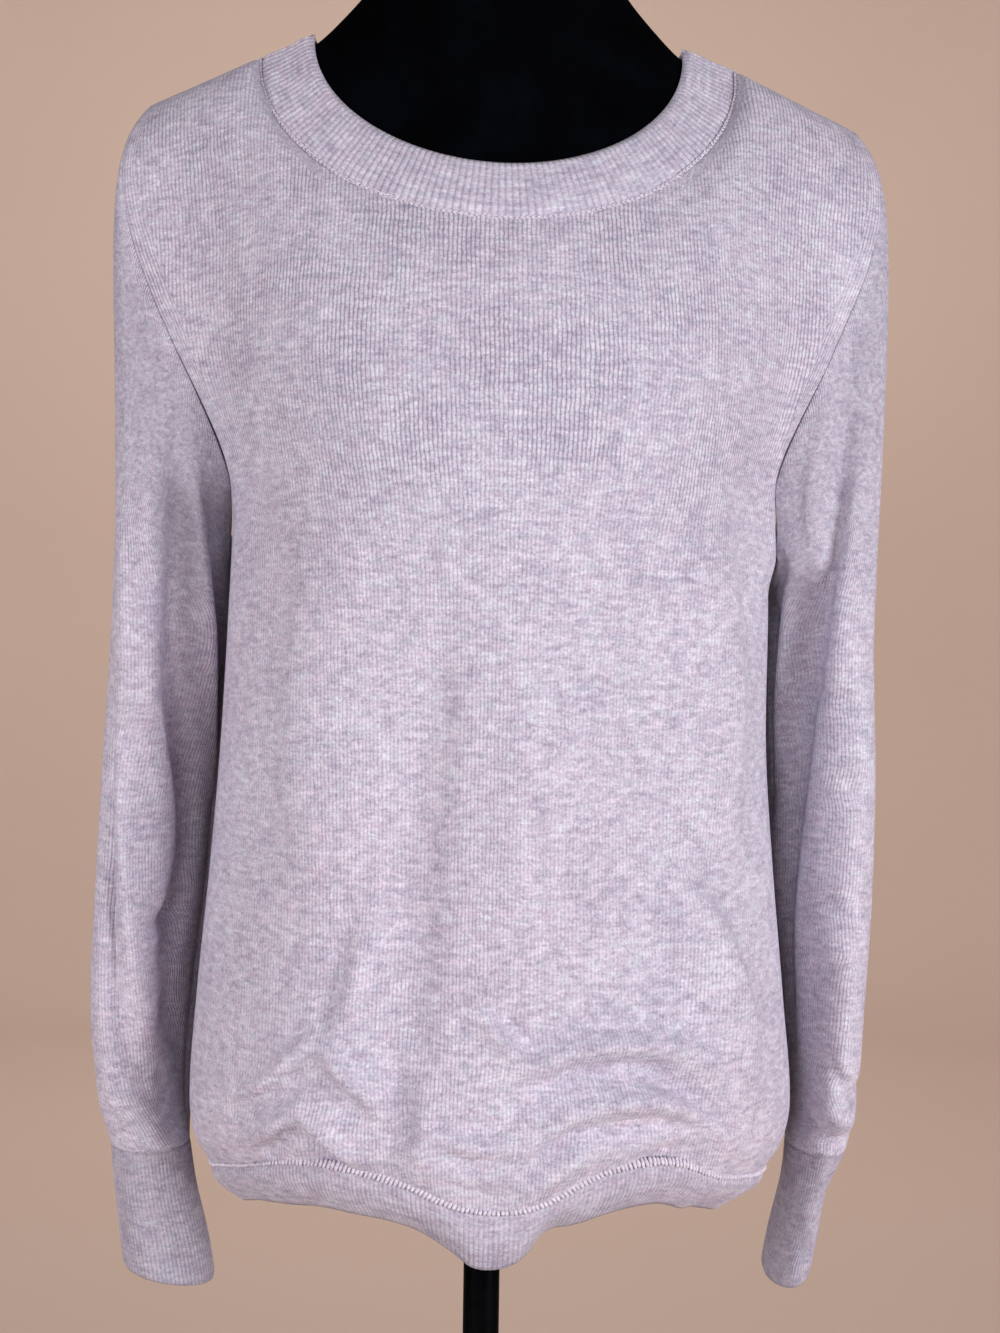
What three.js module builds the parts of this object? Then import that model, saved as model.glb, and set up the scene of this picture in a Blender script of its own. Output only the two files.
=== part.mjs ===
// A fine knit crewneck sweater on a limbless dress form.
// Millimetres, +Z up. The front faces -Y and +X is the viewer's right. The origin is the centre of the
// base's underside. Heights on the body are given as a drop below the high shoulder point, where the
// neckband's inner edge crosses the shoulder.
import * as THREE from "three";

// ---------------------------------------------------------------- driving dimensions
const SHOULDER_HEIGHT = 1360; // high shoulder point above the floor
const WALL = 1.6; // thickness of the knitted cloth
const SEAM_GAP = 0.42; // between pieces that are linked together
const UNDERARM_DROP = 246; // lowest point of the armhole
const NECK_HALF_WIDTH = 130; // of the neckline seam, at the shoulder
const NECK_SEAM_DROP = 13; // of the neckline seam, at the shoulder
const NECK_SLUMP = 3.2; // the left of the neckline seam hangs this much lower
const NECKBAND_INNER_HALF_WIDTH = 102.5;
const SHOULDER_TIP = { left: 192, right: 201, y: 2, drop: 41.5 }; // ends of the shoulder seams
const SHOULDER_LEAN = 0.011; // the right shoulder hangs lower: extra drop for each millimetre to the right
const NECK_SHIFT = 1.2; // the neckline's lowest point lies this far to the right
const SLEEVE_TOP_DROP = 330; // where the sleeve has come to hang straight down
const CUFF_SEAM_DROP = 608;
const SECTION_POWER = 2.2; // 2 is an ellipse, more is squarer
const POLE_RADIUS = 10;
const BASE_RADIUS = 175;
const BASE_THICKNESS = 9;
const TORSO_FOOT_DROP = 574; // underside of the dress form
const SOCKET = { flangeRadius: 46, flangeThickness: 6, sleeveRadius: 15, sleeveLength: 34 };
const BASE_COLLAR = { radius: 19, height: 26 };
const RUNNING_GAP = 0.3; // between hard pieces that fit one another

// ---------------------------------------------------------------- how finely the cloth is faceted
const NECK_STEPS = 8; // centre to shoulder along half a neckline
const SHOULDER_STEPS = 5; // along one shoulder seam
const ARMHOLE_STEPS = 10; // underarm to shoulder tip
const LOWER_STEPS = 12; // hem seam to underarm
const SLEEVE_CAP_STEPS = 6;
const SLEEVE_STEPS = 11;
const CUFF_STEPS = 4;
const HEM_STEPS = 2;
const NECKBAND_STEPS = 3;

// ---------------------------------------------------------------- tables
// Body below the armholes. down: 0 at the underarm and 1 at the hem seam. left and right are half widths,
// front and back are depths from the middle plane.
const BODY = [
  { down: 0.0, left: 142, right: 150, front: 118, back: 103 },
  { down: 0.17, left: 143.5, right: 152, front: 119, back: 103 },
  { down: 0.38, left: 147, right: 152, front: 117, back: 102 },
  { down: 0.55, left: 151.5, right: 156.5, front: 116, back: 103 },
  { down: 0.75, left: 158, right: 163.5, front: 118, back: 107 },
  { down: 0.9, left: 161, right: 168, front: 121, back: 111 },
  { down: 0.96, left: 157.5, right: 163.5, front: 119, back: 110 },
  { down: 1.0, left: 148.5, right: 154, front: 112, back: 104 },
];

// Broad folds of the front: a path of x and drop, how wide the fold is to each side, and how far it stands out
// (positive) or sinks in (negative).
const FRONT_FOLDS = [
  { path: [[-18, 318], [-24, 420], [-30, 590]], width: 24, height: -6 }, // centre trough
  { path: [[38, 330], [44, 430], [36, 540]], width: 26, height: 3 },
  { path: [[-70, 440], [-84, 525], [-128, 566]], width: 17, height: -5 }, // left hip crease
  { path: [[-92, 590], [-60, 566], [-44, 588]], width: 14, height: 5 },
  { path: [[94, 455], [130, 505], [150, 560]], width: 18, height: 5 }, // right hip ridge
  { path: [[8, 580], [48, 546], [96, 540], [128, 556]], width: 16, height: 5 },
  { path: [[-118, 262], [-96, 300], [-88, 350]], width: 18, height: -4 }, // from the underarms
  { path: [[124, 262], [102, 302], [92, 356]], width: 18, height: -4 },
];

// How far the hem's seam hangs below the shoulder, by angle round the body in degrees: 0 is the centre front,
// positive angles go to the viewer's right, and 180 is the centre back.
const HEM_LINE = [
  { angle: -180, drop: 609 },
  { angle: -150, drop: 603 },
  { angle: -120, drop: 610 },
  { angle: -90, drop: 617 },
  { angle: -62, drop: 606 },
  { angle: -37, drop: 595 },
  { angle: -18, drop: 601 },
  { angle: -5, drop: 613 },
  { angle: 7, drop: 613 },
  { angle: 22, drop: 596 },
  { angle: 36, drop: 594 },
  { angle: 52, drop: 607 },
  { angle: 90, drop: 617 },
  { angle: 118, drop: 611 },
  { angle: 150, drop: 602 },
  { angle: 180, drop: 609 },
];

// The hem band below its seam. across scales the seam's outline, down is the distance below the seam.
const HEM_BAND = [
  { across: 1.0, down: 0 },
  { across: 0.965, down: 12 },
  { across: 0.925, down: 24 },
];
const HEM_TONGUE = { depth: 5, spread: 16 }; // the band's edge dips further at the centre front

// Upper panels: each column of the cloth is a cubic curve from the underarm level to the neckline or shoulder
// seam. across is 0 at the centre and 1 at the armhole; rise is the lower handle and reach the upper one.
const FRONT_COLUMNS = [
  { across: 0.0, riseX: 0, riseY: -117, riseDrop: 203, reachX: 0, reachY: -103, reachDrop: 153 },
  { across: 0.3, riseX: 68, riseY: -110, riseDrop: 195, reachX: 86, reachY: -88, reachDrop: 128 },
  { across: 0.62, riseX: 118, riseY: -88, riseDrop: 180, reachX: 150, reachY: -46, reachDrop: 27 },
  { across: 0.81, riseX: 138, riseY: -70, riseDrop: 190, reachX: 168, reachY: -46, reachDrop: 38 },
  { across: 1.0, riseX: 153, riseY: -42, riseDrop: 196, reachX: 231, reachY: -46, reachDrop: 100 },
];
const BACK_COLUMNS = [
  { across: 0.0, riseX: 0, riseY: 106, riseDrop: 180, reachX: 0, reachY: 97, reachDrop: 85 },
  { across: 0.3, riseX: 68, riseY: 99, riseDrop: 180, reachX: 86, reachY: 80, reachDrop: 66 },
  { across: 0.62, riseX: 118, riseY: 86, riseDrop: 180, reachX: 150, reachY: 44, reachDrop: 30 },
  { across: 0.81, riseX: 138, riseY: 68, riseDrop: 190, reachX: 168, reachY: 46, reachDrop: 40 },
  { across: 1.0, riseX: 153, riseY: 42, riseDrop: 196, reachX: 231, reachY: 46, reachDrop: 102 },
];

// Neckline seam and the neckband's rows above it. Each row is a closed curve over the shoulders. slump is how
// much lower its left end hangs.
const NECKBAND = [
  {
    halfWidth: NECK_HALF_WIDTH, sideDrop: NECK_SEAM_DROP, front: 84, frontDrop: 117, back: 78, backDrop: 37,
    slump: NECK_SLUMP,
  },
  { halfWidth: 121, sideDrop: 8, front: 80, frontDrop: 106, back: 74, backDrop: 27, slump: 2.1 },
  { halfWidth: 111.5, sideDrop: 3, front: 75, frontDrop: 95, back: 69.5, backDrop: 17, slump: 1.1 },
  { halfWidth: NECKBAND_INNER_HALF_WIDTH, sideDrop: -1, front: 69, frontDrop: 84, back: 65, backDrop: 8, slump: 0 },
];

// Sleeves, from where they hang straight down to the cuff seam. outer and inner are distances from the middle
// of the body, front and back are depths, and fold is how deep the front of the tube is folded in. tuck is how
// far its back leans in behind the body, sway how far its front leans out, and sink how far the side beside the
// body is pushed back.
const SLEEVE_LEFT = [
  { drop: 330, outer: 207, inner: 148, front: 47, back: 54, fold: 0.28, tuck: 26, sway: 7, sink: 14 },
  { drop: 400, outer: 210, inner: 154, front: 45, back: 52, fold: 0.36, tuck: 22, sway: 9, sink: 24 },
  { drop: 470, outer: 213, inner: 159, front: 42, back: 50, fold: 0.36, tuck: 22, sway: 9, sink: 24 },
  { drop: 530, outer: 215, inner: 165, front: 38, back: 47, fold: 0.3, tuck: 19, sway: 8, sink: 20 },
  { drop: 580, outer: 211, inner: 167, front: 34, back: 43, fold: 0.2, tuck: 14, sway: 5, sink: 12 },
  { drop: 608, outer: 204, inner: 162, front: 27, back: 32, fold: 0.05, tuck: 0, sway: 0, sink: 0 },
];
const SLEEVE_RIGHT = [
  { drop: 330, outer: 211, inner: 156.5, front: 47, back: 54, fold: 0.2, tuck: 22, sway: 5, sink: 10 },
  { drop: 400, outer: 212, inner: 159, front: 45, back: 52, fold: 0.34, tuck: 22, sway: 8, sink: 24 },
  { drop: 470, outer: 212, inner: 163, front: 43, back: 50, fold: 0.32, tuck: 21, sway: 7, sink: 24 },
  { drop: 530, outer: 209, inner: 170, front: 41, back: 48, fold: 0.22, tuck: 17, sway: 4, sink: 18 },
  { drop: 580, outer: 206, inner: 173, front: 38, back: 44, fold: 0.14, tuck: 12, sway: 2, sink: 10 },
  { drop: 608, outer: 201, inner: 170, front: 31, back: 36, fold: 0.05, tuck: 0, sway: 0, sink: 0 },
];
// Both are degrees round the tube from its outer side, over the front.
const SLEEVE_FOLD = { angle: 128, spread: 24 };
const SLEEVE_SINK = { angle: 176, spread: 42 };
// The sleeve's cap, from the armhole to where it hangs. Each of its curves leaves the armhole outwards and
// downwards and comes into the tube from above. The first number is for the underarm, the second for the top.
const CAP_LEAVES = { down: [32, 20], backAndFront: 0.08 };
const CAP_ARRIVES = { above: [30, 132] };
const CAP_OUT = { left: [1.5, 10], right: [1.5, 9] };
const CAP_TUCK = { left: [0, 5], right: [0, -4] }; // how far in its outer side comes just above the tube

const CUFF_LEFT = [
  { drop: 608, outer: 204, inner: 162, front: 27, back: 32 },
  { drop: 632, outer: 202, inner: 158, front: 26, back: 29 },
  { drop: 660, outer: 199, inner: 151, front: 25, back: 28 },
  { drop: 683, outer: 196.5, inner: 147, front: 25, back: 28 },
];
const CUFF_RIGHT = [
  { drop: 608, outer: 201, inner: 170, front: 31, back: 36 },
  { drop: 632, outer: 190, inner: 168.5, front: 30, back: 36 },
  { drop: 660, outer: 185, inner: 161.5, front: 31, back: 35 },
  { drop: 681, outer: 180.5, inner: 157.5, front: 31, back: 34 },
];
const CUFF_SLANT = { left: 9, right: 5 }; // the outer side of each cuff's edge is this much higher

// Dress form below the armholes, from its underside up.
const FORM_TRUNK = [
  { drop: TORSO_FOOT_DROP, half: 146, front: 95, back: 96 },
  { drop: 550, half: 148, front: 97, back: 99 },
  { drop: 500, half: 141, front: 94, back: 97 },
  { drop: 450, half: 126, front: 88, back: 86 },
  { drop: 410, half: 118, front: 87, back: 77 },
  { drop: 360, half: 120, front: 96, back: 80 },
  { drop: 310, half: 130, front: 109, back: 90 },
  { drop: UNDERARM_DROP, half: 137, front: 113, back: 98 },
];
// Its shoulders follow the cloth that lies on them. Its neck rises from inside the neckband.
const FORM_NECK = [
  { halfWidth: 88, sideDrop: -11, front: 57, frontDrop: 63, back: 56, backDrop: -6, slump: 0 },
  { halfWidth: 71, sideDrop: -30, front: 51, frontDrop: 26, back: 53, backDrop: -25, slump: 0 },
  { halfWidth: 60, sideDrop: -51, front: 49, frontDrop: -18, back: 52, backDrop: -46, slump: 0 },
  { halfWidth: 57, sideDrop: -70, front: 47, frontDrop: -62, back: 50, backDrop: -68, slump: 0 },
  { halfWidth: 53, sideDrop: -78, front: 43, frontDrop: -78, back: 46, backDrop: -78, slump: 0 },
];
const FORM_EASE = { shoulder: 0.5, chest: 3, neck: 2 }; // between the form and the cloth
const FORM_PLATE = 0.955; // its arm plates stand this far across, inside the armholes
const FORM_TRUNK_STEPS = 12;
const FORM_NECK_STEPS = 8;

// ---------------------------------------------------------------- colours
const PALETTE = {
  cloth: { color: 0xc3b7cb, roughness: 0.95, metalness: 0 },
  rib: { color: 0xbcb0c4, roughness: 0.95, metalness: 0 },
  velvet: { color: 0x08090d, roughness: 0.9, metalness: 0 },
  enamel: { color: 0x0b0b0d, roughness: 0.45, metalness: 0.3 },
};

// ---------------------------------------------------------------- small helpers
const radians = THREE.MathUtils.degToRad;
const lerp = THREE.MathUtils.lerp;

function point(x, y, drop) {
  return new THREE.Vector3(x, y, SHOULDER_HEIGHT - drop);
}

// A smooth curve through a table's rows: a cubic between rows, with the slopes that the neighbours give.
function tableValue(rows, key, at, column) {
  const last = rows.length - 1;
  const rising = rows[last][key] > rows[0][key];
  const sorted = rising ? rows : [...rows].reverse();
  const t = THREE.MathUtils.clamp(at, sorted[0][key], sorted[last][key]);
  let i = 0;
  while (i < last - 1 && t > sorted[i + 1][key]) i += 1;
  const slope = (j) => {
    const a = Math.max(j - 1, 0);
    const b = Math.min(j + 1, last);
    return (sorted[b][column] - sorted[a][column]) / (sorted[b][key] - sorted[a][key]);
  };
  const span = sorted[i + 1][key] - sorted[i][key];
  const s = (t - sorted[i][key]) / span;
  const rise = sorted[i + 1][column] - sorted[i][column];
  const m0 = slope(i) * span;
  const m1 = slope(i + 1) * span;
  return sorted[i][column] + s * m0 + s * s * (3 * rise - 2 * m0 - m1) + s * s * s * (m0 + m1 - 2 * rise);
}

function cubic(a, b, c, d, t) {
  const r = 1 - t;
  return new THREE.Vector3()
    .addScaledVector(a, r * r * r)
    .addScaledVector(b, 3 * r * r * t)
    .addScaledVector(c, 3 * r * t * t)
    .addScaledVector(d, t * t * t);
}

function steps(from, to, count) {
  return Array.from({ length: count + 1 }, (_, i) => lerp(from, to, i / count));
}

// ---------------------------------------------------------------- body surface
// face is -1 on the front and 1 on the back; across runs from -1 at the left to 1 at the right.
function hemDrop(face, across) {
  const angle = face < 0 ? across * 90 : Math.sign(across || 1) * (180 - Math.abs(across) * 90);
  return tableValue(HEM_LINE, "angle", angle, "drop");
}

// How far a fold moves the cloth at a place on the front.
function foldHeight(fold, x, drop) {
  let nearest = Infinity;
  for (let i = 0; i < fold.path.length - 1; i += 1) {
    const [ax, ad] = fold.path[i];
    const [bx, bd] = fold.path[i + 1];
    const along = ((x - ax) * (bx - ax) + (drop - ad) * (bd - ad)) / ((bx - ax) ** 2 + (bd - ad) ** 2);
    const t = THREE.MathUtils.clamp(along, 0, 1);
    nearest = Math.min(nearest, Math.hypot(x - lerp(ax, bx, t), drop - lerp(ad, bd, t)));
  }
  return fold.height * Math.exp(-((nearest / fold.width) ** 2));
}

function lowerBody(face, across, down) {
  const sine = Math.sin(radians(across * 90));
  const half = tableValue(BODY, "down", down, across < 0 ? "left" : "right");
  const depth = tableValue(BODY, "down", down, face < 0 ? "front" : "back");
  const round = (1 - Math.abs(sine) ** SECTION_POWER) ** (1 / SECTION_POWER);
  const drop = lerp(UNDERARM_DROP, hemDrop(face, across), down);
  const p = point(half * sine, face * depth * round, drop);
  if (face < 0) {
    const free = Math.sin(Math.PI * down) ** 0.5 * round; // folds die out at the hem, underarm and side seams
    for (const fold of FRONT_FOLDS) p.y -= free * foldHeight(fold, p.x, drop);
  }
  return p;
}

// turn runs from 0 at the centre to 90 degrees at the shoulder, negative on the left
function necklinePoint(row, face, turn) {
  const depth = face < 0 ? row.front : row.back;
  const centreDrop = face < 0 ? row.frontDrop : row.backDrop;
  const low = Math.cos(radians(turn));
  const sine = Math.sin(radians(turn));
  const x = row.halfWidth * sine;
  const shift = face < 0 ? NECK_SHIFT * low * low : 0;
  const slump = row.slump * Math.max(-sine, 0) ** 2;
  return point(x + shift, face * depth * low, lerp(row.sideDrop, centreDrop, low) + slump + SHOULDER_LEAN * x);
}

const NECK_SHARE = 0.62; // how much of a panel's width ends at the neckline
const SHOULDER_CROWN = 1.5; // how far the shoulder seam bows up between its ends

function topEdge(face, across) {
  const side = Math.sign(across) || 1;
  const out = Math.abs(across);
  if (out <= NECK_SHARE) return necklinePoint(NECKBAND[0], face, (side * 90 * out) / NECK_SHARE);
  const t = (out - NECK_SHARE) / (1 - NECK_SHARE);
  const crown = SHOULDER_CROWN * Math.sin(Math.PI * t);
  const x = side * lerp(NECK_HALF_WIDTH, side < 0 ? SHOULDER_TIP.left : SHOULDER_TIP.right, t);
  const neckDrop = NECK_SEAM_DROP + (side < 0 ? NECK_SLUMP : 0);
  const drop = lerp(neckDrop, SHOULDER_TIP.drop, t) - crown;
  return point(x, SHOULDER_TIP.y * t, drop + SHOULDER_LEAN * x);
}

function chestColumn(face, across, up, foot, shift) {
  const side = Math.sign(across) || 1;
  const columns = face < 0 ? FRONT_COLUMNS : BACK_COLUMNS;
  const value = (name) => tableValue(columns, "across", Math.abs(across), name);
  const rise = point(side * (value("riseX") + shift), value("riseY"), value("riseDrop"));
  const reach = point(side * (value("reachX") + shift / 2), value("reachY"), value("reachDrop"));
  reach.z -= SHOULDER_LEAN * reach.x;
  return cubic(foot, rise, reach, topEdge(face, across), up);
}

function upperBody(face, across, up) {
  const shift = across > 0 ? (BODY[0].right - BODY[0].left) * across : 0;
  return chestColumn(face, across, up, lowerBody(face, across, 0), shift);
}

// ---------------------------------------------------------------- sleeve surface
// round is the angle round the tube in degrees: 0 on its outer side, 90 in front, 180 beside the body.
function tubeSection(rows, side, drop, round) {
  const value = (name) => tableValue(rows, "drop", drop, name);
  const outer = value("outer");
  const inner = value("inner");
  const front = value("front");
  const back = value("back");
  const cos = Math.cos(radians(round));
  const sin = Math.sin(radians(round));
  let pinch = 1;
  let lean = 0;
  let sink = 0;
  if (rows[0].fold) {
    pinch -= value("fold") * Math.exp(-(((round - SLEEVE_FOLD.angle) / SLEEVE_FOLD.spread) ** 2));
    lean = value("sway") * Math.max(sin, 0) ** 2 - value("tuck") * Math.max(-sin, 0);
    sink = value("sink") * Math.exp(-(((round - SLEEVE_SINK.angle) / SLEEVE_SINK.spread) ** 2));
  }
  const x = (outer + inner) / 2 + ((outer - inner) / 2) * cos + lean;
  const y = sink - (sin > 0 ? front : back) * sin * pinch;
  return point(side * x, y, drop);
}

function armholePoint(side, round) {
  return round <= 180 ? upperBody(-1, side, 1 - round / 180) : upperBody(1, side, (round - 180) / 180);
}

function sleeveCap(rows, side, t, round) {
  const from = armholePoint(side, round);
  const to = tubeSection(rows, side, SLEEVE_TOP_DROP, round);
  const high = (1 + Math.cos(radians(round))) / 2; // 1 at the shoulder tip, 0 at the underarm
  const which = side < 0 ? "left" : "right";
  const out = side * lerp(...CAP_OUT[which], Math.sqrt(high));
  const tuck = side * lerp(...CAP_TUCK[which], high);
  const leaving = new THREE.Vector3(out, from.y * CAP_LEAVES.backAndFront, -lerp(...CAP_LEAVES.down, high));
  const arriving = new THREE.Vector3(-tuck, 0, lerp(...CAP_ARRIVES.above, high));
  return cubic(from, from.clone().add(leaving), to.clone().add(arriving), to, t);
}

function cuffPoint(rows, side, drop, round) {
  const p = tubeSection(rows, side, drop, round);
  const slant = side < 0 ? CUFF_SLANT.left : CUFF_SLANT.right;
  const along = (drop - CUFF_SEAM_DROP) / (rows[rows.length - 1].drop - CUFF_SEAM_DROP);
  p.z += (along * slant * (1 + Math.cos(radians(round)))) / 2;
  return p;
}

// ---------------------------------------------------------------- cloth pieces as grids
// A grid has rows of points on the outer face of the cloth. closed joins its last column to its first.
function makeGrid(rowValues, columnValues, closed, place) {
  const points = rowValues.map((r) => columnValues.map((c) => place(r, c)));
  return { points, closed };
}

const halfAcross = [...steps(0, NECK_SHARE, NECK_STEPS), ...steps(NECK_SHARE, 1, SHOULDER_STEPS).slice(1)];
const panelAcross = [...halfAcross.slice(1).reverse().map((a) => -a), ...halfAcross];
const neckAcross = panelAcross.filter((a) => Math.abs(a) <= NECK_SHARE);
const tubeRound = steps(0, 360, 2 * ARMHOLE_STEPS).slice(0, -1);

// Rows crowd together towards the hem, where the cloth turns under.
const lowerDown = steps(0, 1, LOWER_STEPS).map((s) => 1 - (1 - s) ** 1.35);

function panelGrid(face) {
  const rows = [
    ...[...lowerDown].reverse().map((down) => ({ down })),
    ...steps(0, 1, ARMHOLE_STEPS).slice(1).map((up) => ({ up })),
  ];
  const across = face < 0 ? panelAcross : [...panelAcross].reverse();
  return makeGrid(rows, across, false, (row, a) =>
    "down" in row ? lowerBody(face, a, row.down) : upperBody(face, a, row.up),
  );
}

// The whole ring of the body at one level: along the front and back round the other side.
function ringPlaces(acrossValues) {
  const front = acrossValues.map((a) => ({ face: -1, across: a }));
  const back = acrossValues.slice(1, -1).reverse().map((a) => ({ face: 1, across: a }));
  return [...front, ...back];
}

function hemBandGrid() {
  const rows = steps(0, HEM_BAND.length - 1, HEM_STEPS).reverse();
  const table = HEM_BAND.map((row, index) => ({ ...row, index }));
  return makeGrid(rows, ringPlaces(panelAcross), true, (index, { face, across }) => {
    const seam = lowerBody(face, across, 1);
    const scale = tableValue(table, "index", index, "across");
    const tongue = face < 0 ? HEM_TONGUE.depth * Math.exp(-(((across * 90) / HEM_TONGUE.spread) ** 2)) : 0;
    const down = tableValue(table, "index", index, "down");
    const share = index / (HEM_BAND.length - 1);
    return new THREE.Vector3(seam.x * scale, seam.y * scale, seam.z - down - tongue * share);
  });
}

function necklineRing(table, index) {
  const names = ["halfWidth", "sideDrop", "front", "frontDrop", "back", "backDrop", "slump"];
  const row = Object.fromEntries(names.map((name) => [name, tableValue(table, "index", index, name)]));
  return ringPlaces(neckAcross).map(({ face, across }) => necklinePoint(row, face, (90 * across) / NECK_SHARE));
}

function neckbandGrid() {
  const table = NECKBAND.map((row, index) => ({ ...row, index }));
  const points = steps(0, NECKBAND.length - 1, NECKBAND_STEPS).map((index) => necklineRing(table, index));
  return { points, closed: true };
}

function sleeveGrid(rows, side) {
  const cap = steps(0, 1, SLEEVE_CAP_STEPS).map((t) => ({ t }));
  const hang = steps(SLEEVE_TOP_DROP, CUFF_SEAM_DROP, SLEEVE_STEPS).slice(1).map((drop) => ({ drop }));
  const levels = [...cap, ...hang];
  return makeGrid(levels, tubeRound, true, (level, round) =>
    "t" in level ? sleeveCap(rows, side, level.t, round) : tubeSection(rows, side, level.drop, round),
  );
}

function cuffGrid(rows, side) {
  const drops = steps(CUFF_SEAM_DROP, rows[rows.length - 1].drop, CUFF_STEPS);
  return makeGrid(drops, tubeRound, true, (drop, round) => cuffPoint(rows, side, drop, round));
}

// ---------------------------------------------------------------- from grids to walls
// outward is 1 where rows cross columns towards the outside of the cloth, or else -1.
function gridNormals(grid, outward) {
  const { points, closed } = grid;
  const rowCount = points.length;
  const columnCount = points[0].length;
  const normals = points.map((row) => row.map(() => new THREE.Vector3()));
  const lastColumn = closed ? columnCount : columnCount - 1;
  for (let i = 0; i < rowCount - 1; i += 1) {
    for (let j = 0; j < lastColumn; j += 1) {
      const k = (j + 1) % columnCount;
      const corners = [points[i][j], points[i][k], points[i + 1][k], points[i + 1][j]];
      const first = corners[2].clone().sub(corners[0]);
      const second = corners[3].clone().sub(corners[1]);
      const face = first.cross(second).multiplyScalar(outward);
      for (const [r, c] of [[i, j], [i, k], [i + 1, k], [i + 1, j]]) normals[r][c].add(face);
    }
  }
  for (const row of normals) for (const n of row) n.normalize();
  return normals;
}

// Sorts points into places: those nearer than SAME_PLACE to one another share a place.
const SAME_PLACE = 0.01;
class Places {
  constructor() {
    this.points = [];
  }

  indexOf(p) {
    const found = this.points.findIndex((q) => Math.abs(q.x - p.x) < SAME_PLACE && q.distanceTo(p) < SAME_PLACE);
    if (found >= 0) return found;
    this.points.push(p);
    return this.points.length - 1;
  }
}

// Where two pieces meet on a rounded seam, their edges lean the same way, so that the walls stay apart. Where
// they meet in a deep valley, as under the arm, each edge keeps its own way.
const MOST_TURN = -0.3;
function shareSeamNormals(pieces) {
  const places = new Places();
  const meeting = [];
  for (const piece of pieces) {
    piece.grid.points.forEach((row, i) => row.forEach((p, j) => {
      const at = places.indexOf(p);
      (meeting[at] ??= []).push(piece.normals[i][j]);
    }));
  }
  for (const normals of meeting) {
    const original = normals.map((n) => n.clone());
    normals.forEach((normal, g) => {
      const sum = new THREE.Vector3();
      for (const other of original) if (other.dot(original[g]) > MOST_TURN) sum.add(other);
      normal.copy(sum.normalize());
    });
  }
}

// Moves the outermost rows and columns back from the seam lines by half the gap, square to the seam.
function trimmed(grid) {
  const { points, closed } = grid;
  const moved = points.map((row) => row.map((p) => p.clone()));
  const rowCount = points.length;
  const columnCount = points[0].length;
  const column = (j) => (closed ? (j + columnCount) % columnCount : THREE.MathUtils.clamp(j, 0, columnCount - 1));
  const row = (i) => THREE.MathUtils.clamp(i, 0, rowCount - 1);
  const pull = (i, j, inward, before, after) => {
    const seam = after.clone().sub(before).normalize();
    const away = inward.clone().sub(points[i][j]);
    away.addScaledVector(seam, -away.dot(seam)).normalize();
    moved[i][j].addScaledVector(away, SEAM_GAP / 2);
  };
  for (const [i, r] of [[0, 1], [rowCount - 1, rowCount - 2]]) {
    for (let j = 0; j < columnCount; j += 1) {
      pull(i, j, points[r][j], points[i][column(j - 1)], points[i][column(j + 1)]);
    }
  }
  if (!closed) {
    for (const [j, c] of [[0, 1], [columnCount - 1, columnCount - 2]]) {
      for (let i = 0; i < rowCount; i += 1) {
        pull(i, j, points[i][c], points[row(i - 1)][j], points[row(i + 1)][j]);
      }
    }
  }
  return moved;
}

// A closed wall: the outer face, the inner face WALL behind it, and the edges between them.
function wallGeometry(piece) {
  const { grid, normals, outward } = piece;
  const outer = trimmed(grid);
  const rowCount = outer.length;
  const columnCount = outer[0].length;
  const positions = [];
  for (const row of outer) for (const p of row) positions.push(p.x, p.y, p.z);
  outer.forEach((row, i) => row.forEach((p, j) => {
    const q = p.clone().addScaledVector(normals[i][j], -WALL);
    positions.push(q.x, q.y, q.z);
  }));
  const index = [];
  const innerStart = rowCount * columnCount;
  const at = (i, j) => i * columnCount + (j % columnCount);
  const quad = (a, b, c, d) => {
    if (outward > 0) index.push(a, b, c, a, c, d);
    else index.push(a, c, b, a, d, c);
  };
  const lastColumn = grid.closed ? columnCount : columnCount - 1;
  for (let i = 0; i < rowCount - 1; i += 1) {
    for (let j = 0; j < lastColumn; j += 1) {
      const [a, b, c, d] = [at(i, j), at(i, j + 1), at(i + 1, j + 1), at(i + 1, j)];
      quad(a, b, c, d);
      quad(a + innerStart, d + innerStart, c + innerStart, b + innerStart);
    }
  }
  const rim = (a, b) => quad(a, a + innerStart, b + innerStart, b);
  for (let j = 0; j < lastColumn; j += 1) {
    rim(at(0, j), at(0, j + 1));
    rim(at(rowCount - 1, j + 1), at(rowCount - 1, j));
  }
  if (!grid.closed) {
    for (let i = 0; i < rowCount - 1; i += 1) {
      rim(at(i + 1, 0), at(i, 0));
      rim(at(i, columnCount - 1), at(i + 1, columnCount - 1));
    }
  }
  const geometry = new THREE.BufferGeometry();
  geometry.setAttribute("position", new THREE.Float32BufferAttribute(positions, 3));
  geometry.setIndex(index);
  geometry.computeVertexNormals();
  return geometry;
}

// ---------------------------------------------------------------- assembly
const group = new THREE.Group();
group.name = "crewneck_sweater_on_a_dress_form";

function addMesh(name, geometry, palette) {
  const mesh = new THREE.Mesh(geometry, new THREE.MeshStandardMaterial(palette));
  mesh.name = name;
  group.add(mesh);
  return mesh;
}

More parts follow.
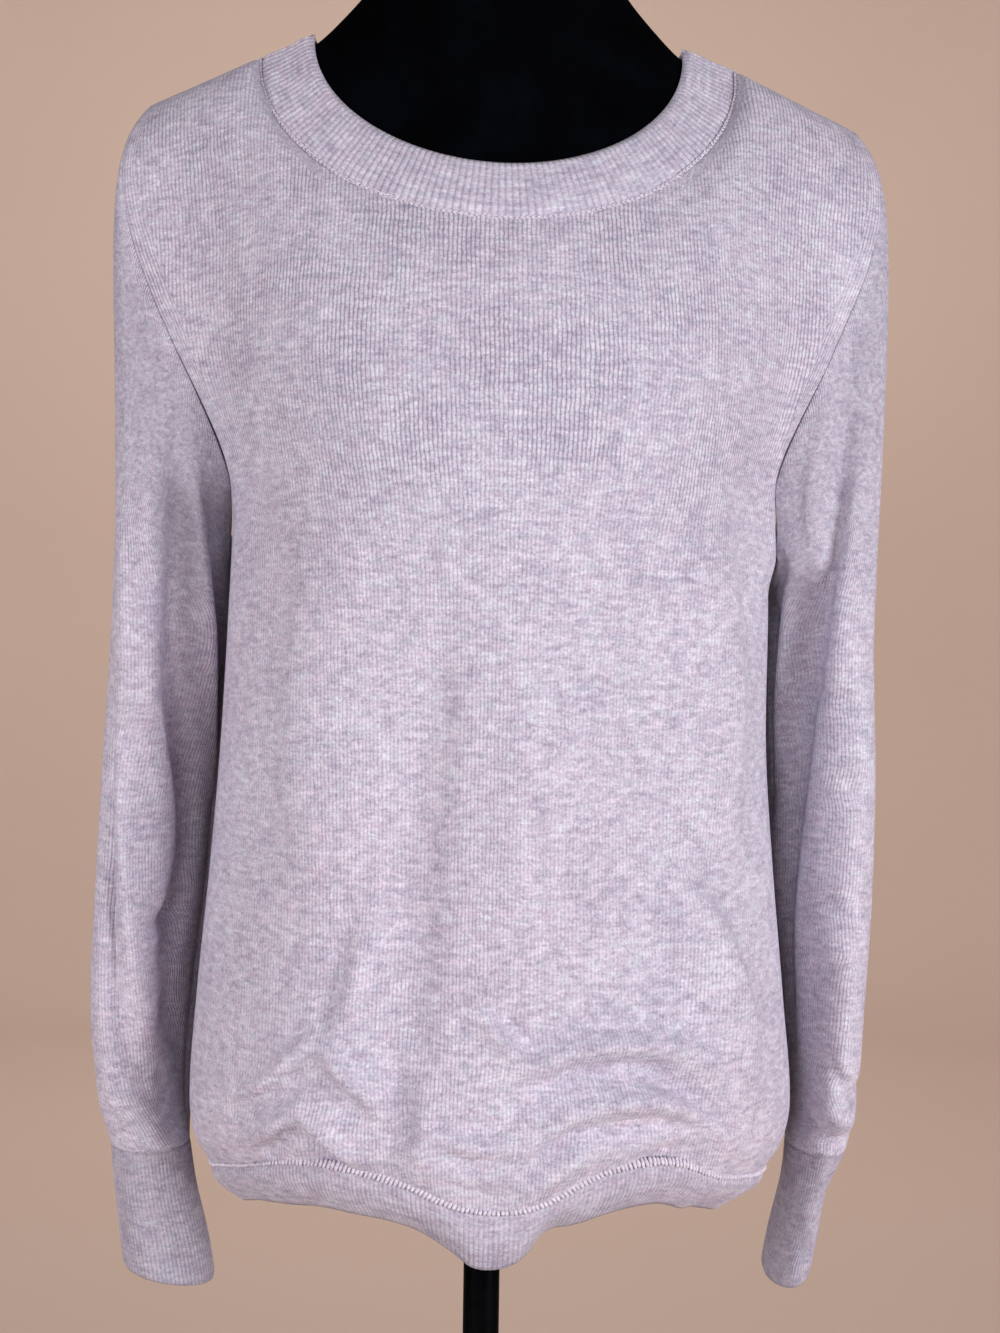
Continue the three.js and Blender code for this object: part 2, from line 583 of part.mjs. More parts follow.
function buildSweater() {
  const pieces = [
    { name: "front", grid: panelGrid(-1), outward: 1, palette: PALETTE.cloth },
    { name: "back", grid: panelGrid(1), outward: 1, palette: PALETTE.cloth },
    { name: "sleeve_left", grid: sleeveGrid(SLEEVE_LEFT, -1), outward: -1, palette: PALETTE.cloth },
    { name: "sleeve_right", grid: sleeveGrid(SLEEVE_RIGHT, 1), outward: 1, palette: PALETTE.cloth },
    { name: "neckband", grid: neckbandGrid(), outward: 1, palette: PALETTE.rib },
    { name: "hem_band", grid: hemBandGrid(), outward: 1, palette: PALETTE.rib },
    { name: "cuff_left", grid: cuffGrid(CUFF_LEFT, -1), outward: -1, palette: PALETTE.rib },
    { name: "cuff_right", grid: cuffGrid(CUFF_RIGHT, 1), outward: 1, palette: PALETTE.rib },
  ];
  for (const piece of pieces) piece.normals = gridNormals(piece.grid, piece.outward);
  shareSeamNormals(pieces);
  for (const piece of pieces) addMesh(piece.name, wallGeometry(piece), piece.palette);
}

// Below the armholes the form has its own outline. Above them it lies just inside the cloth, the same on both
// sides, and flat plates close its arm openings.
function trunkPoint(drop, face, across) {
  const sine = Math.sin(radians(across * 90));
  const half = tableValue(FORM_TRUNK, "drop", drop, "half");
  const depth = tableValue(FORM_TRUNK, "drop", drop, face < 0 ? "front" : "back");
  const round = (1 - Math.abs(sine) ** SECTION_POWER) ** (1 / SECTION_POWER);
  return point(half * sine, face * depth * round, drop);
}

function chestSkin(face) {
  const plateToPlate = panelAcross.map((a) => THREE.MathUtils.clamp(a, -FORM_PLATE, FORM_PLATE));
  const across = face < 0 ? plateToPlate : [...plateToPlate].reverse();
  const grid = makeGrid(steps(0, 1, ARMHOLE_STEPS), across, false, (up, a) => {
    const foot = lowerBody(face, -Math.abs(a), 0);
    foot.x *= -(Math.sign(a) || 1);
    return chestColumn(face, a, up, foot, 0);
  });
  return { grid, normals: gridNormals(grid, 1) };
}

function neckSkin() {
  const grid = neckbandGrid();
  return { grid, normals: gridNormals(grid, 1) };
}

function formRings() {
  const skins = [chestSkin(-1), chestSkin(1), neckSkin()];
  shareSeamNormals(skins);
  const lieUnder = (skin, ease) => skin.grid.points.map((row, i) => row.map((p, j) =>
    p.clone().addScaledVector(skin.normals[i][j], -WALL - ease(i / (skin.grid.points.length - 1))),
  ));
  const chestEase = (up) => lerp(FORM_EASE.chest, FORM_EASE.shoulder, up ** 2);
  const neckEase = (up) => lerp(FORM_EASE.shoulder, FORM_EASE.neck, up);
  const [front, back] = skins.slice(0, 2).map((skin) => lieUnder(skin, chestEase));
  const chest = front.map((row, i) => [...row, ...back[i]]);
  const trunk = steps(TORSO_FOOT_DROP, UNDERARM_DROP, FORM_TRUNK_STEPS).slice(0, -1).map((drop) =>
    [...panelAcross.map((a) => trunkPoint(drop, -1, a)), ...panelAcross.map((a) => trunkPoint(drop, 1, -a))],
  );
  const table = FORM_NECK.map((row, index) => ({ ...row, index }));
  const neck = steps(0, FORM_NECK.length - 1, FORM_NECK_STEPS).map((index) => necklineRing(table, index));
  return { trunkAndChest: [...trunk, ...chest], collarAndNeck: [...lieUnder(skins[2], neckEase), ...neck] };
}

// Collects triangles by position, so that rings that meet are joined, and drops those with no area.
function weld(triangles) {
  const places = new Places();
  const index = [];
  for (const corners of triangles) {
    const [a, b, c] = corners.map((p) => places.indexOf(p));
    if (a !== b && b !== c && c !== a) index.push(a, b, c);
  }
  const geometry = new THREE.BufferGeometry();
  geometry.setFromPoints(places.points);
  geometry.setIndex(index);
  geometry.computeVertexNormals();
  return geometry;
}

function loft(rings) {
  const triangles = [];
  for (let i = 0; i < rings.length - 1; i += 1) {
    const [low, high] = [rings[i], rings[i + 1]];
    low.forEach((p, j) => {
      const k = (j + 1) % low.length;
      triangles.push([p, low[k], high[k]], [p, high[k], high[j]]);
    });
  }
  return triangles;
}

function cap(ring, upwards) {
  const centre = ring.reduce((sum, p) => sum.add(p), new THREE.Vector3()).divideScalar(ring.length);
  centre.x = 0;
  return ring.map((p, j) => {
    const q = ring[(j + 1) % ring.length];
    return upwards ? [centre, p, q] : [centre, q, p];
  });
}

function buildForm() {
  const { trunkAndChest, collarAndNeck } = formRings();
  addMesh("form_torso", weld([
    ...cap(trunkAndChest[0], false),
    ...loft(trunkAndChest),
    ...loft(collarAndNeck),
    ...cap(collarAndNeck[collarAndNeck.length - 1], true),
  ]), PALETTE.velvet);
}

function turned(name, profile, segments, palette) {
  // profile rows are [radius, height]; the lathe turns about +Y, so it is stood up to +Z
  const outline = profile.map(([radius, height]) => new THREE.Vector2(radius, height));
  const geometry = new THREE.LatheGeometry(outline, segments);
  geometry.rotateX(Math.PI / 2);
  return addMesh(name, geometry, palette);
}

function buildStand() {
  const torsoFoot = SHOULDER_HEIGHT - TORSO_FOOT_DROP;
  const flangeTop = torsoFoot - RUNNING_GAP;
  const flangeFoot = flangeTop - SOCKET.flangeThickness;
  const sleeveFoot = flangeTop - SOCKET.sleeveLength;
  const bore = POLE_RADIUS + RUNNING_GAP;
  turned("pole_socket", [
    [0, flangeTop], [SOCKET.flangeRadius, flangeTop], [SOCKET.flangeRadius, flangeFoot],
    [SOCKET.sleeveRadius, flangeFoot], [SOCKET.sleeveRadius, sleeveFoot], [bore, sleeveFoot],
    [bore, flangeFoot], [0, flangeFoot],
  ].reverse(), 24, PALETTE.enamel);
  turned("pole", [
    [0, BASE_THICKNESS + RUNNING_GAP], [POLE_RADIUS, BASE_THICKNESS + RUNNING_GAP],
    [POLE_RADIUS, flangeFoot - RUNNING_GAP], [0, flangeFoot - RUNNING_GAP],
  ], 20, PALETTE.enamel);
  const collarFoot = BASE_THICKNESS + RUNNING_GAP;
  turned("base_collar", [
    [bore, collarFoot], [BASE_COLLAR.radius, collarFoot], [BASE_COLLAR.radius, collarFoot + BASE_COLLAR.height - 4],
    [BASE_COLLAR.radius - 4, collarFoot + BASE_COLLAR.height], [bore, collarFoot + BASE_COLLAR.height],
    [bore, collarFoot],
  ], 24, PALETTE.enamel);
  turned("base", [
    [0, 0], [BASE_RADIUS, 0], [BASE_RADIUS, BASE_THICKNESS - 2], [BASE_RADIUS - 3, BASE_THICKNESS],
    [0, BASE_THICKNESS],
  ], 48, PALETTE.enamel);
}

buildSweater();
buildForm();
buildStand();

export default group;
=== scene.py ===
"""A fine knit crewneck sweater on a limbless dress form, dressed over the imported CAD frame.

The cloth's surfaces are worked out in millimetres: x to the viewer's right, y to the back, and a drop below
the high shoulder point. Blender's metres come in at the end, when a mesh is made.
"""

import math

import bmesh
import bpy
import numpy as np
from mathutils import Matrix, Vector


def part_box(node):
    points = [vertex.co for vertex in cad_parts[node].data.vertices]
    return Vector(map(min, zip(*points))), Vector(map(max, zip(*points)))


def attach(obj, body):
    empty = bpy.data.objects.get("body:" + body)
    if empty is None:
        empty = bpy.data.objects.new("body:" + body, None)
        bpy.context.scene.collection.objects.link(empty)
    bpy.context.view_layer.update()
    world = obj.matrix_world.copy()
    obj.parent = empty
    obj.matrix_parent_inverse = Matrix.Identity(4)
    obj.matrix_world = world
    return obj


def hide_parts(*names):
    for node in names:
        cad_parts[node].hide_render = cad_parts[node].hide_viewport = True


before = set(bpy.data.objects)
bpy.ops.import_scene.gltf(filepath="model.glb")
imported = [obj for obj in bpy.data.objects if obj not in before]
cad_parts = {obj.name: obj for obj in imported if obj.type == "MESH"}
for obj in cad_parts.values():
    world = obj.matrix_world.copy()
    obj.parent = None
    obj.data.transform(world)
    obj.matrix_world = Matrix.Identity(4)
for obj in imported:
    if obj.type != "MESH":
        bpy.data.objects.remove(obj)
rng = np.random.default_rng(7)
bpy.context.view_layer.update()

# ---------------------------------------------------------------- sizes, in millimetres
TORSO_FOOT_DROP = 574
SHOULDER_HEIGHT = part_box("form_torso")[0].z * 1000 + TORSO_FOOT_DROP
WALL = 1.6  # thickness of the knitted cloth
UNDERARM_DROP = 246
NECK_HALF_WIDTH = 130
NECK_SEAM_DROP = 13
SHOULDER_TIP = {"left": 192, "right": 201, "y": 2, "drop": 41.5}
SHOULDER_LEAN = 0.011
SHOULDER_CROWN = 1.5
NECK_SHIFT = 1.2
NECK_SLUMP = 3.2  # the left of the neck seam hangs this much lower
NECK_SHARE = 0.62
SLEEVE_TOP_DROP = 330
CUFF_SEAM_DROP = 608
SECTION_POWER = 2.2


def table(columns, *rows):
    """A table with named columns, a row for each section or fold."""
    values = np.array(rows, float)
    return {name: values[:, i] for i, name in enumerate(columns.split())}


BODY = table(
    "down left right front back",
    (0.0, 142, 150, 118, 103),
    (0.17, 143.5, 152, 119, 103),
    (0.38, 147, 152, 117, 102),
    (0.55, 151.5, 156.5, 116, 103),
    (0.75, 158, 163.5, 118, 107),
    (0.9, 161, 168, 121, 111),
    (0.96, 157.5, 163.5, 119, 110),
    (1.0, 148.5, 154, 112, 104),
)

# How far the hem's seam hangs below the shoulder, by angle round the body: 0 is the centre front, positive
# angles go to the viewer's right.
HEM_LINE = table(
    "angle drop",
    (-180, 609), (-150, 603), (-120, 610), (-90, 617), (-62, 606), (-37, 595), (-18, 601), (-5, 613),
    (7, 613), (22, 596), (36, 594), (52, 607), (90, 617), (118, 611), (150, 602), (180, 609),
)

# The hem band's lower edge: how far it has curled in under the body, and how far it hangs below the seam.
HEM_CURL = table(
    "angle inward down",
    (-180, 9, 25), (-140, 15, 22), (-115, 10, 25), (-90, 16, 21), (-66, 17, 19.5), (-56, 16, 21),
    (-48, 14, 23), (-40, 12, 24), (-31, 11, 25), (-22, 12, 24), (-14, 12.5, 24.5), (-10, 11, 25), (-7, 9, 26),
    (-4, 5, 28.2), (-1, 4, 28.7), (4, 5, 27.2), (8, 11, 24.6), (11, 15, 20.8), (14, 15.5, 21.2),
    (17, 13, 23.6), (20, 11.5, 25), (24, 11, 25), (28, 12, 25), (34, 13, 24), (40, 14, 22), (47, 16, 20),
    (52, 19, 17.8), (58, 18.5, 18.4), (63, 18, 19), (69, 21, 15), (77, 18, 17.5), (84, 21, 15), (100, 16, 20),
    (125, 10, 25), (150, 15, 22), (180, 9, 25),
)

HEM_BAND = {"bow": 2.2, "curl": 1.6}  # how far it bellies out, and how late it curls in

FRONT_COLUMNS = table(
    "across riseX riseY riseDrop reachX reachY reachDrop",
    (0.0, 0, -117, 203, 0, -103, 153),
    (0.3, 68, -110, 195, 86, -88, 128),
    (0.62, 118, -88, 180, 150, -46, 27),
    (0.81, 138, -70, 190, 168, -46, 38),
    (1.0, 153, -42, 196, 231, -46, 100),
)
BACK_COLUMNS = table(
    "across riseX riseY riseDrop reachX reachY reachDrop",
    (0.0, 0, 106, 180, 0, 97, 85),
    (0.3, 68, 99, 180, 86, 80, 66),
    (0.62, 118, 86, 180, 150, 44, 30),
    (0.81, 138, 68, 190, 168, 46, 40),
    (1.0, 153, 42, 196, 231, 46, 102),
)

NECKBAND = table(
    "index halfWidth sideDrop front frontDrop back backDrop",
    (0, 130, 13, 84, 117, 78, 37),
    (1, 121, 8, 80, 106, 74, 27),
    (2, 111.5, 3, 75, 95, 69.5, 17),
    (3, 102.5, -1, 69, 84, 65, 8),
)

SLEEVE = {
    -1: table(
        "drop outer inner front back fold angle tuck sway sink",
        (330, 207, 148, 47, 54, 0.28, 126, 26, 7, 14),
        (400, 210, 154, 45, 52, 0.36, 140, 22, 9, 24),
        (470, 213, 159, 42, 50, 0.34, 146, 22, 9, 24),
        (530, 215, 165, 38, 47, 0.3, 148, 19, 8, 20),
        (580, 211, 167, 34, 43, 0.16, 160, 14, 5, 12),
        (608, 204, 162, 27, 32, 0.05, 170, 0, 0, 0),
    ),
    1: table(
        "drop outer inner front back fold angle tuck sway sink",
        (330, 211, 156.5, 47, 54, 0.2, 130, 22, 5, 10),
        (400, 212, 159, 45, 52, 0.32, 146, 22, 8, 22),
        (470, 212, 163, 43, 50, 0.28, 158, 21, 5, 22),
        (530, 209, 170, 41, 48, 0.16, 168, 17, 2, 16),
        (580, 206, 173, 38, 44, 0.1, 168, 12, 1, 10),
        (608, 201, 170, 31, 36, 0.05, 168, 0, 0, 0),
    ),
}
SLEEVE_FOLD_SPREAD = 24
SLEEVE_SINK = {"angle": 176, "spread": 42}
CAP_LEAVES = {"down": (32, 20), "backAndFront": 0.08}
CAP_ABOVE = (30, 132)
CAP_OUT = {-1: (1.5, 10), 1: (1.5, 9)}
CAP_TUCK = {-1: (0, 5), 1: (0, -4)}
CUFF = {
    -1: table(
        "drop outer inner front back",
        (608, 204, 162, 27, 32),
        (632, 202, 158, 26, 29),
        (660, 199, 151, 25, 28),
        (683, 196.5, 147, 25, 28),
    ),
    1: table(
        "drop outer inner front back",
        (608, 201, 170, 31, 36),
        (632, 190, 168.5, 30, 36),
        (660, 185, 161.5, 31, 35),
        (681, 180.5, 157.5, 31, 34),
    ),
}
CUFF_SLANT = {-1: 9, 1: 5}

# ---------------------------------------------------------------- folds
# Each fold is a soft ridge (positive height) or trough (negative) along a short path. near and far are its
# widths to the two sides of the path, left and right of it as it runs.

def fold(height, near, far, *path):
    return {"height": height, "near": near, "far": far, "path": np.array(path, float)}


# On the front, places are x and drop.
FRONT_FOLDS = (
    # long soft undulations down the middle
    fold(-9.8, 13, 24, (-31, 310), (-35, 400), (-40, 480), (-44, 570)),
    fold(5.8, 26, 9, (-97, 290), (-100, 380), (-96, 460)),
    fold(4.6, 26, 14, (8, 340), (12, 430), (6, 510)),
    fold(-3.0, 13, 20, (76, 290), (80, 370), (82, 440), (80, 500)),
    fold(9.0, 9, 24, (114, 260), (119, 350), (118, 450)),
    # the forked crease at the left hip
    fold(-4.2, 3, 5, (-71, 468), (-78, 500), (-86, 532)),
    fold(3.6, 5, 5, (-62, 474), (-69, 504), (-77, 530)),
    fold(6.2, 5, 5, (-88, 530), (-100, 543), (-112, 555), (-124, 562)),
    fold(-5.6, 5, 5, (-92, 544), (-104, 556), (-116, 566), (-128, 572)),
    fold(6.0, 5, 5, (-87, 530), (-78, 542), (-70, 552), (-58, 560)),
    fold(-5.4, 5, 5, (-88, 544), (-80, 554), (-70, 563), (-60, 570)),
    # the second fork below it, down to the hem
    fold(5.8, 5, 5, (-97, 566), (-108, 577), (-121, 586)),
    fold(-5.2, 5, 5, (-98, 577), (-108, 587), (-118, 594)),
    fold(5.8, 5, 5, (-97, 566), (-86, 576), (-74, 585), (-60, 590)),
    fold(-6.0, 4, 5, (-96, 576), (-85, 586), (-74, 593)),
    fold(-4.8, 5, 7, (-54, 530), (-46, 550), (-42, 570), (-44, 586)),
    fold(3.6, 6, 6, (-36, 556), (-34, 574), (-38, 590)),
    # across the right hip
    fold(12.0, 7, 19, (92, 448), (104, 466), (115, 488), (124, 512), (130, 540), (133, 564)),
    fold(-3.0, 6, 9, (72, 466), (85, 484), (96, 506), (103, 532)),
    fold(5.0, 4, 4, (-7, 516), (3, 527), (14, 538)),
    fold(-4.6, 4, 4, (-1, 512), (9, 523), (20, 533)),
    fold(7.0, 6, 6, (-4, 547), (14, 541), (36, 534), (56, 531), (76, 531), (96, 536), (112, 546),
         (124, 560)),
    fold(-6.2, 5, 6, (14, 556), (30, 549), (48, 544), (66, 543), (84, 546), (98, 553), (108, 562)),
    fold(6.0, 5, 6, (20, 573), (36, 565), (54, 560), (74, 559), (94, 562), (112, 570)),
    fold(-5.6, 5, 6, (28, 584), (46, 575), (66, 572), (88, 573), (108, 581)),
    fold(-7.0, 4, 4, (80, 548), (94, 556), (106, 563), (120, 574)),
    fold(-6.4, 4, 5, (12, 597), (22, 588), (32, 579), (44, 570)),
    fold(4.4, 5, 5, (20, 602), (32, 592), (44, 583), (56, 577)),
    fold(-3.6, 4, 5, (-24, 566), (-6, 572), (10, 570)),
    fold(-3.6, 4, 5, (-28, 582), (-8, 589), (10, 586)),
    fold(3.2, 4, 5, (-26, 574), (-6, 580), (12, 578)),
    fold(-3.0, 5, 6, (-24, 598), (-4, 604), (14, 602)),
    fold(-4.0, 6, 7, (72, 594), (92, 588), (112, 590)),
    # from the armholes
    fold(-3.2, 12, 16, (-132, 236), (-122, 268), (-112, 310), (-108, 350)),
    fold(-2.6, 12, 16, (134, 240), (124, 276), (120, 318), (118, 352)),
)
# On the back, x is still to the viewer's right of the front.
BACK_FOLDS = (
    fold(-3.0, 18, 22, (6, 300), (10, 400), (4, 500), (8, 560)),
    fold(2.6, 20, 22, (-44, 360), (-50, 450), (-46, 540)),
    fold(2.8, 22, 20, (52, 340), (60, 430), (58, 520)),
    fold(-4.7, 7, 10, (96, 500), (84, 530), (66, 556), (40, 570)),
    fold(-4.4, 8, 9, (-104, 510), (-88, 540), (-66, 558)),
    fold(3.4, 9, 10, (-90, 556), (-60, 572), (-30, 574)),
    fold(-4.2, 7, 8, (-40, 590), (-16, 578), (14, 584)),
    fold(3.4, 10, 9, (28, 588), (60, 578), (96, 586)),
    fold(-3.0, 12, 16, (128, 240), (112, 280), (100, 340)),
    fold(-3.0, 12, 16, (-126, 236), (-110, 278), (-98, 336)),
    fold(-2.4, 12, 14, (-60, 120), (-20, 132), (24, 130), (66, 118)),
)
# On a sleeve, places are the angle round the tube (0 on its outer side, 90 in front, 180 beside the body) and
# the drop.
SLEEVE_FOLDS = {
    -1: (
        # the sharp turn in to the valley beside the body, and the ridge inside it
        fold(-8.0, 7, 7, (124, 200), (126, 228), (123, 260), (120, 292), (119, 324), (125, 366),
             (140, 408), (147, 440), (146, 460), (141, 480), (139, 528), (158, 556)),
        fold(4.4, 6, 9, (104, 236), (98, 300), (99, 344), (113, 388), (124, 430), (122, 470), (118, 524),
             (132, 556)),
        fold(6.4, 6, 7, (132, 226), (136, 250), (140, 290), (149, 332), (160, 366), (178, 414)),
        fold(-6.0, 7, 7, (160, 300), (170, 350), (184, 400)),
        # the long crease that runs from the outer side across the front to the inner side
        fold(-7.0, 4, 11, (52, 356), (60, 384), (66, 410), (72, 440), (79, 470), (88, 498), (97, 526),
             (105, 548), (120, 568)),
        fold(4.6, 7, 4, (76, 384), (82, 410), (88, 440), (95, 470), (104, 498), (113, 526), (121, 548),
             (134, 562)),
        fold(-4.4, 5, 7, (150, 476), (132, 484), (112, 486)),
        fold(3.6, 7, 8, (150, 500), (132, 520), (122, 540)),
        fold(-2.6, 7, 9, (92, 300), (96, 330), (90, 360)),
        fold(3.0, 7, 9, (58, 262), (66, 310), (70, 350)),
        fold(-3.0, 7, 8, (30, 560), (54, 584), (84, 596)),
        fold(-2.0, 9, 9, (-100, 360), (-84, 420), (-76, 500)),
        fold(2.2, 9, 11, (-60, 330), (-50, 420), (-52, 520)),
        fold(-2.4, 6, 8, (-130, 540), (-96, 566), (-60, 574)),
        fold(2.0, 6, 8, (-120, 580), (-84, 592), (-40, 590)),
    ),
    1: (
        fold(-8.0, 7, 8, (104, 216), (107, 242), (112, 276), (116, 304), (121, 332), (133, 370),
             (142, 412), (150, 454), (160, 500), (170, 552)),
        fold(4.2, 6, 9, (88, 250), (98, 302), (103, 334), (115, 370), (124, 412), (132, 454), (142, 500),
             (150, 548)),
        # the small roll under the arm, and the pocket inside it
        fold(7.0, 5, 6, (180, 281), (164, 280), (151, 286), (144, 300), (145, 328), (152, 362), (160, 404)),
        fold(-7.0, 7, 7, (176, 300), (168, 330), (170, 380), (176, 430)),
        fold(4.0, 6, 7, (128, 222), (134, 250), (132, 280)),
        fold(-2.8, 5, 7, (120, 352), (98, 362), (78, 366)),
        fold(-2.8, 5, 7, (104, 400), (84, 410), (62, 412)),
        fold(-2.8, 6, 7, (122, 470), (94, 476), (66, 470)),
        fold(2.6, 6, 7, (126, 490), (100, 498), (76, 494)),
        fold(-5.0, 5, 7, (120, 556), (84, 570), (50, 576), (20, 570)),
        fold(4.4, 6, 7, (124, 578), (90, 586), (50, 590)),
        fold(-4.4, 4, 6, (116, 596), (80, 602), (40, 600)),
        fold(-2.2, 9, 9, (-104, 350), (-86, 430), (-80, 510)),
        fold(2.4, 9, 11, (-58, 340), (-52, 430), (-56, 530)),
        fold(-2.4, 6, 8, (-128, 548), (-92, 570), (-58, 578)),
    ),
}
CUFF_FOLDS = {
    -1: (
        fold(1.6, 9, 12, (64, 612), (70, 640), (82, 676)),
        fold(-1.6, 9, 12, (108, 612), (116, 640), (120, 680)),
        fold(-1.4, 9, 12, (-80, 612), (-86, 640), (-90, 680)),
    ),
    1: (
        fold(-1.8, 5, 7, (116, 620), (84, 630), (50, 628)),
        fold(-1.8, 5, 7, (120, 652), (92, 660), (60, 656)),
        fold(2.0, 6, 8, (124, 664), (94, 670), (56, 668)),
        fold(-1.8, 9, 12, (-80, 612), (-86, 640), (-90, 680)),
    ),
}

# ---------------------------------------------------------------- curves and tables


def curve(rows, key, at, column):
    """A smooth curve through a table's rows: a cubic between rows, with slopes from the neighbours."""
    x, y = rows[key], rows[column]
    slope = np.empty_like(y)
    slope[1:-1] = (y[2:] - y[:-2]) / (x[2:] - x[:-2])
    slope[0] = (y[1] - y[0]) / (x[1] - x[0])
    slope[-1] = (y[-1] - y[-2]) / (x[-1] - x[-2])
    at = np.clip(at, x[0], x[-1])
    i = np.clip(np.searchsorted(x, at, side="right") - 1, 0, len(x) - 2)
    span = x[i + 1] - x[i]
    s = (at - x[i]) / span
    rise = y[i + 1] - y[i]
    m0, m1 = slope[i] * span, slope[i + 1] * span
    return y[i] + s * m0 + s * s * (3 * rise - 2 * m0 - m1) + s**3 * (m0 + m1 - 2 * rise)


def place(x, y, drop):
    x, y, drop = np.broadcast_arrays(x, y, drop)
    return np.stack([x, y, SHOULDER_HEIGHT - drop], -1).astype(float)


def bezier(a, b, c, d, t):
    t = t[..., None]
    r = 1 - t
    return a * r**3 + b * 3 * r * r * t + c * 3 * r * t * t + d * t**3


def lerp(a, b, t):
    return a + (b - a) * t


def smoothstep(low, high, value):
    t = np.clip((value - low) / (high - low), 0, 1)
    return t * t * (3 - 2 * t)


def unit(v):
    return v / np.maximum(np.linalg.norm(v, axis=-1, keepdims=True), 1e-9)


# ---------------------------------------------------------------- the cloth's surfaces


def around(face, across):
    """The angle round the body of a place on the front (face -1) or back (face 1)."""
    side = np.where(across < 0, -1, 1)
    return across * 90 if face < 0 else side * (180 - np.abs(across) * 90)


def lower_body(face, across, down):
    sine = np.sin(np.radians(across * 90))
    left, right = (curve(BODY, "down", down, name) for name in ("left", "right"))
    half = np.where(across < 0, left, right)
    depth = curve(BODY, "down", down, "front" if face < 0 else "back")
    bulge = np.maximum(1 - np.abs(sine) ** SECTION_POWER, 0) ** (1 / SECTION_POWER)
    hem = curve(HEM_LINE, "angle", around(face, across), "drop")
    return place(half * sine, face * depth * bulge, lerp(UNDERARM_DROP, hem, down))


def neckline(index, face, turn):
    row = {name: curve(NECKBAND, "index", index, name) for name in NECKBAND}
    depth, centre = (row["front"], row["frontDrop"]) if face < 0 else (row["back"], row["backDrop"])
    low = np.cos(np.radians(turn))
    x = row["halfWidth"] * np.sin(np.radians(turn))
    shift = NECK_SHIFT * low * low if face < 0 else 0
    slump = NECK_SLUMP * np.maximum(-np.sin(np.radians(turn)), 0) ** 2 * (1 - index / NECKBAND["index"][-1])
    drop = lerp(row["sideDrop"], centre, low) + slump + SHOULDER_LEAN * x
    return place(x + shift, face * depth * low, drop)


def top_edge(face, across):
    side, out = np.where(across < 0, -1, 1), np.abs(across)
    neck = neckline(0, face, side * 90 * np.minimum(out / NECK_SHARE, 1))
    t = np.clip((out - NECK_SHARE) / (1 - NECK_SHARE), 0, 1)
    tip = np.where(side < 0, SHOULDER_TIP["left"], SHOULDER_TIP["right"])
    x = side * lerp(NECK_HALF_WIDTH, tip, t)
    neck_drop = NECK_SEAM_DROP + np.where(side < 0, NECK_SLUMP, 0)
    drop = lerp(neck_drop, SHOULDER_TIP["drop"], t) - SHOULDER_CROWN * np.sin(np.pi * t)
    shoulder = place(x, SHOULDER_TIP["y"] * t, drop + SHOULDER_LEAN * x)
    return np.where((out <= NECK_SHARE)[..., None], neck, shoulder)


def chest(face, across, up, foot, shift):
    side, out = np.where(across < 0, -1, 1), np.abs(across)
    columns = FRONT_COLUMNS if face < 0 else BACK_COLUMNS
    value = {name: curve(columns, "across", out, name) for name in columns}
    rise = place(side * (value["riseX"] + shift), value["riseY"], value["riseDrop"])
    reach = place(side * (value["reachX"] + shift / 2), value["reachY"], value["reachDrop"])
    reach[..., 2] -= SHOULDER_LEAN * reach[..., 0]
    return bezier(foot, rise, reach, top_edge(face, across), up)


def upper_body(face, across, up):
    shift = np.maximum(across, 0) * (BODY["right"][0] - BODY["left"][0])
    return chest(face, across, up, lower_body(face, across, 0 * up), shift)


def tube(rows, side, drop, turn):
    """turn is the angle round the tube: 0 on its outer side, 90 in front, 180 beside the body."""
    value = {name: curve(rows, "drop", drop, name) for name in rows}
    cos, sin = np.cos(np.radians(turn)), np.sin(np.radians(turn))
    pinch, lean, sink = 1, 0, 0
    if "fold" in rows:
        pinch = 1 - value["fold"] * np.exp(-(((turn - value["angle"]) / SLEEVE_FOLD_SPREAD) ** 2))
        lean = value["sway"] * np.maximum(sin, 0) ** 2 - value["tuck"] * np.maximum(-sin, 0)
        sink = value["sink"] * np.exp(-(((turn - SLEEVE_SINK["angle"]) / SLEEVE_SINK["spread"]) ** 2))
    middle, half = (value["outer"] + value["inner"]) / 2, (value["outer"] - value["inner"]) / 2
    y = sink - np.where(sin > 0, value["front"], value["back"]) * sin * pinch
    return place(side * (middle + half * cos + lean), y, drop)


def armhole(side, turn):
    across = np.full_like(turn, side)
    front = upper_body(-1, across, 1 - np.minimum(turn, 180) / 180)
    back = upper_body(1, across, np.maximum(turn - 180, 0) / 180)
    return np.where((turn <= 180)[..., None], front, back)


def sleeve_cap(side, t, turn):
    start, end = armhole(side, turn), tube(SLEEVE[side], side, np.full_like(turn, SLEEVE_TOP_DROP), turn)
    high = (1 + np.cos(np.radians(turn))) / 2
    out = side * lerp(*CAP_OUT[side], np.sqrt(high))
    fore_and_aft = start[..., 1] * CAP_LEAVES["backAndFront"]
    leaving = np.stack([out, fore_and_aft, -lerp(*CAP_LEAVES["down"], high)], -1)
    arriving = np.stack([-side * lerp(*CAP_TUCK[side], high), 0 * high, lerp(*CAP_ABOVE, high)], -1)
    return bezier(start, start + leaving, end + arriving, end, t)


# ---------------------------------------------------------------- working on a grid of points


def normals(p, closed, outward):
    """The outward normal at each point of a grid."""
    if closed:
        across = np.roll(p, -1, 1) - np.roll(p, 1, 1)
    else:
        across = np.gradient(p, axis=1)
    along = np.gradient(p, axis=0)
    return unit(np.cross(across, along)) * outward


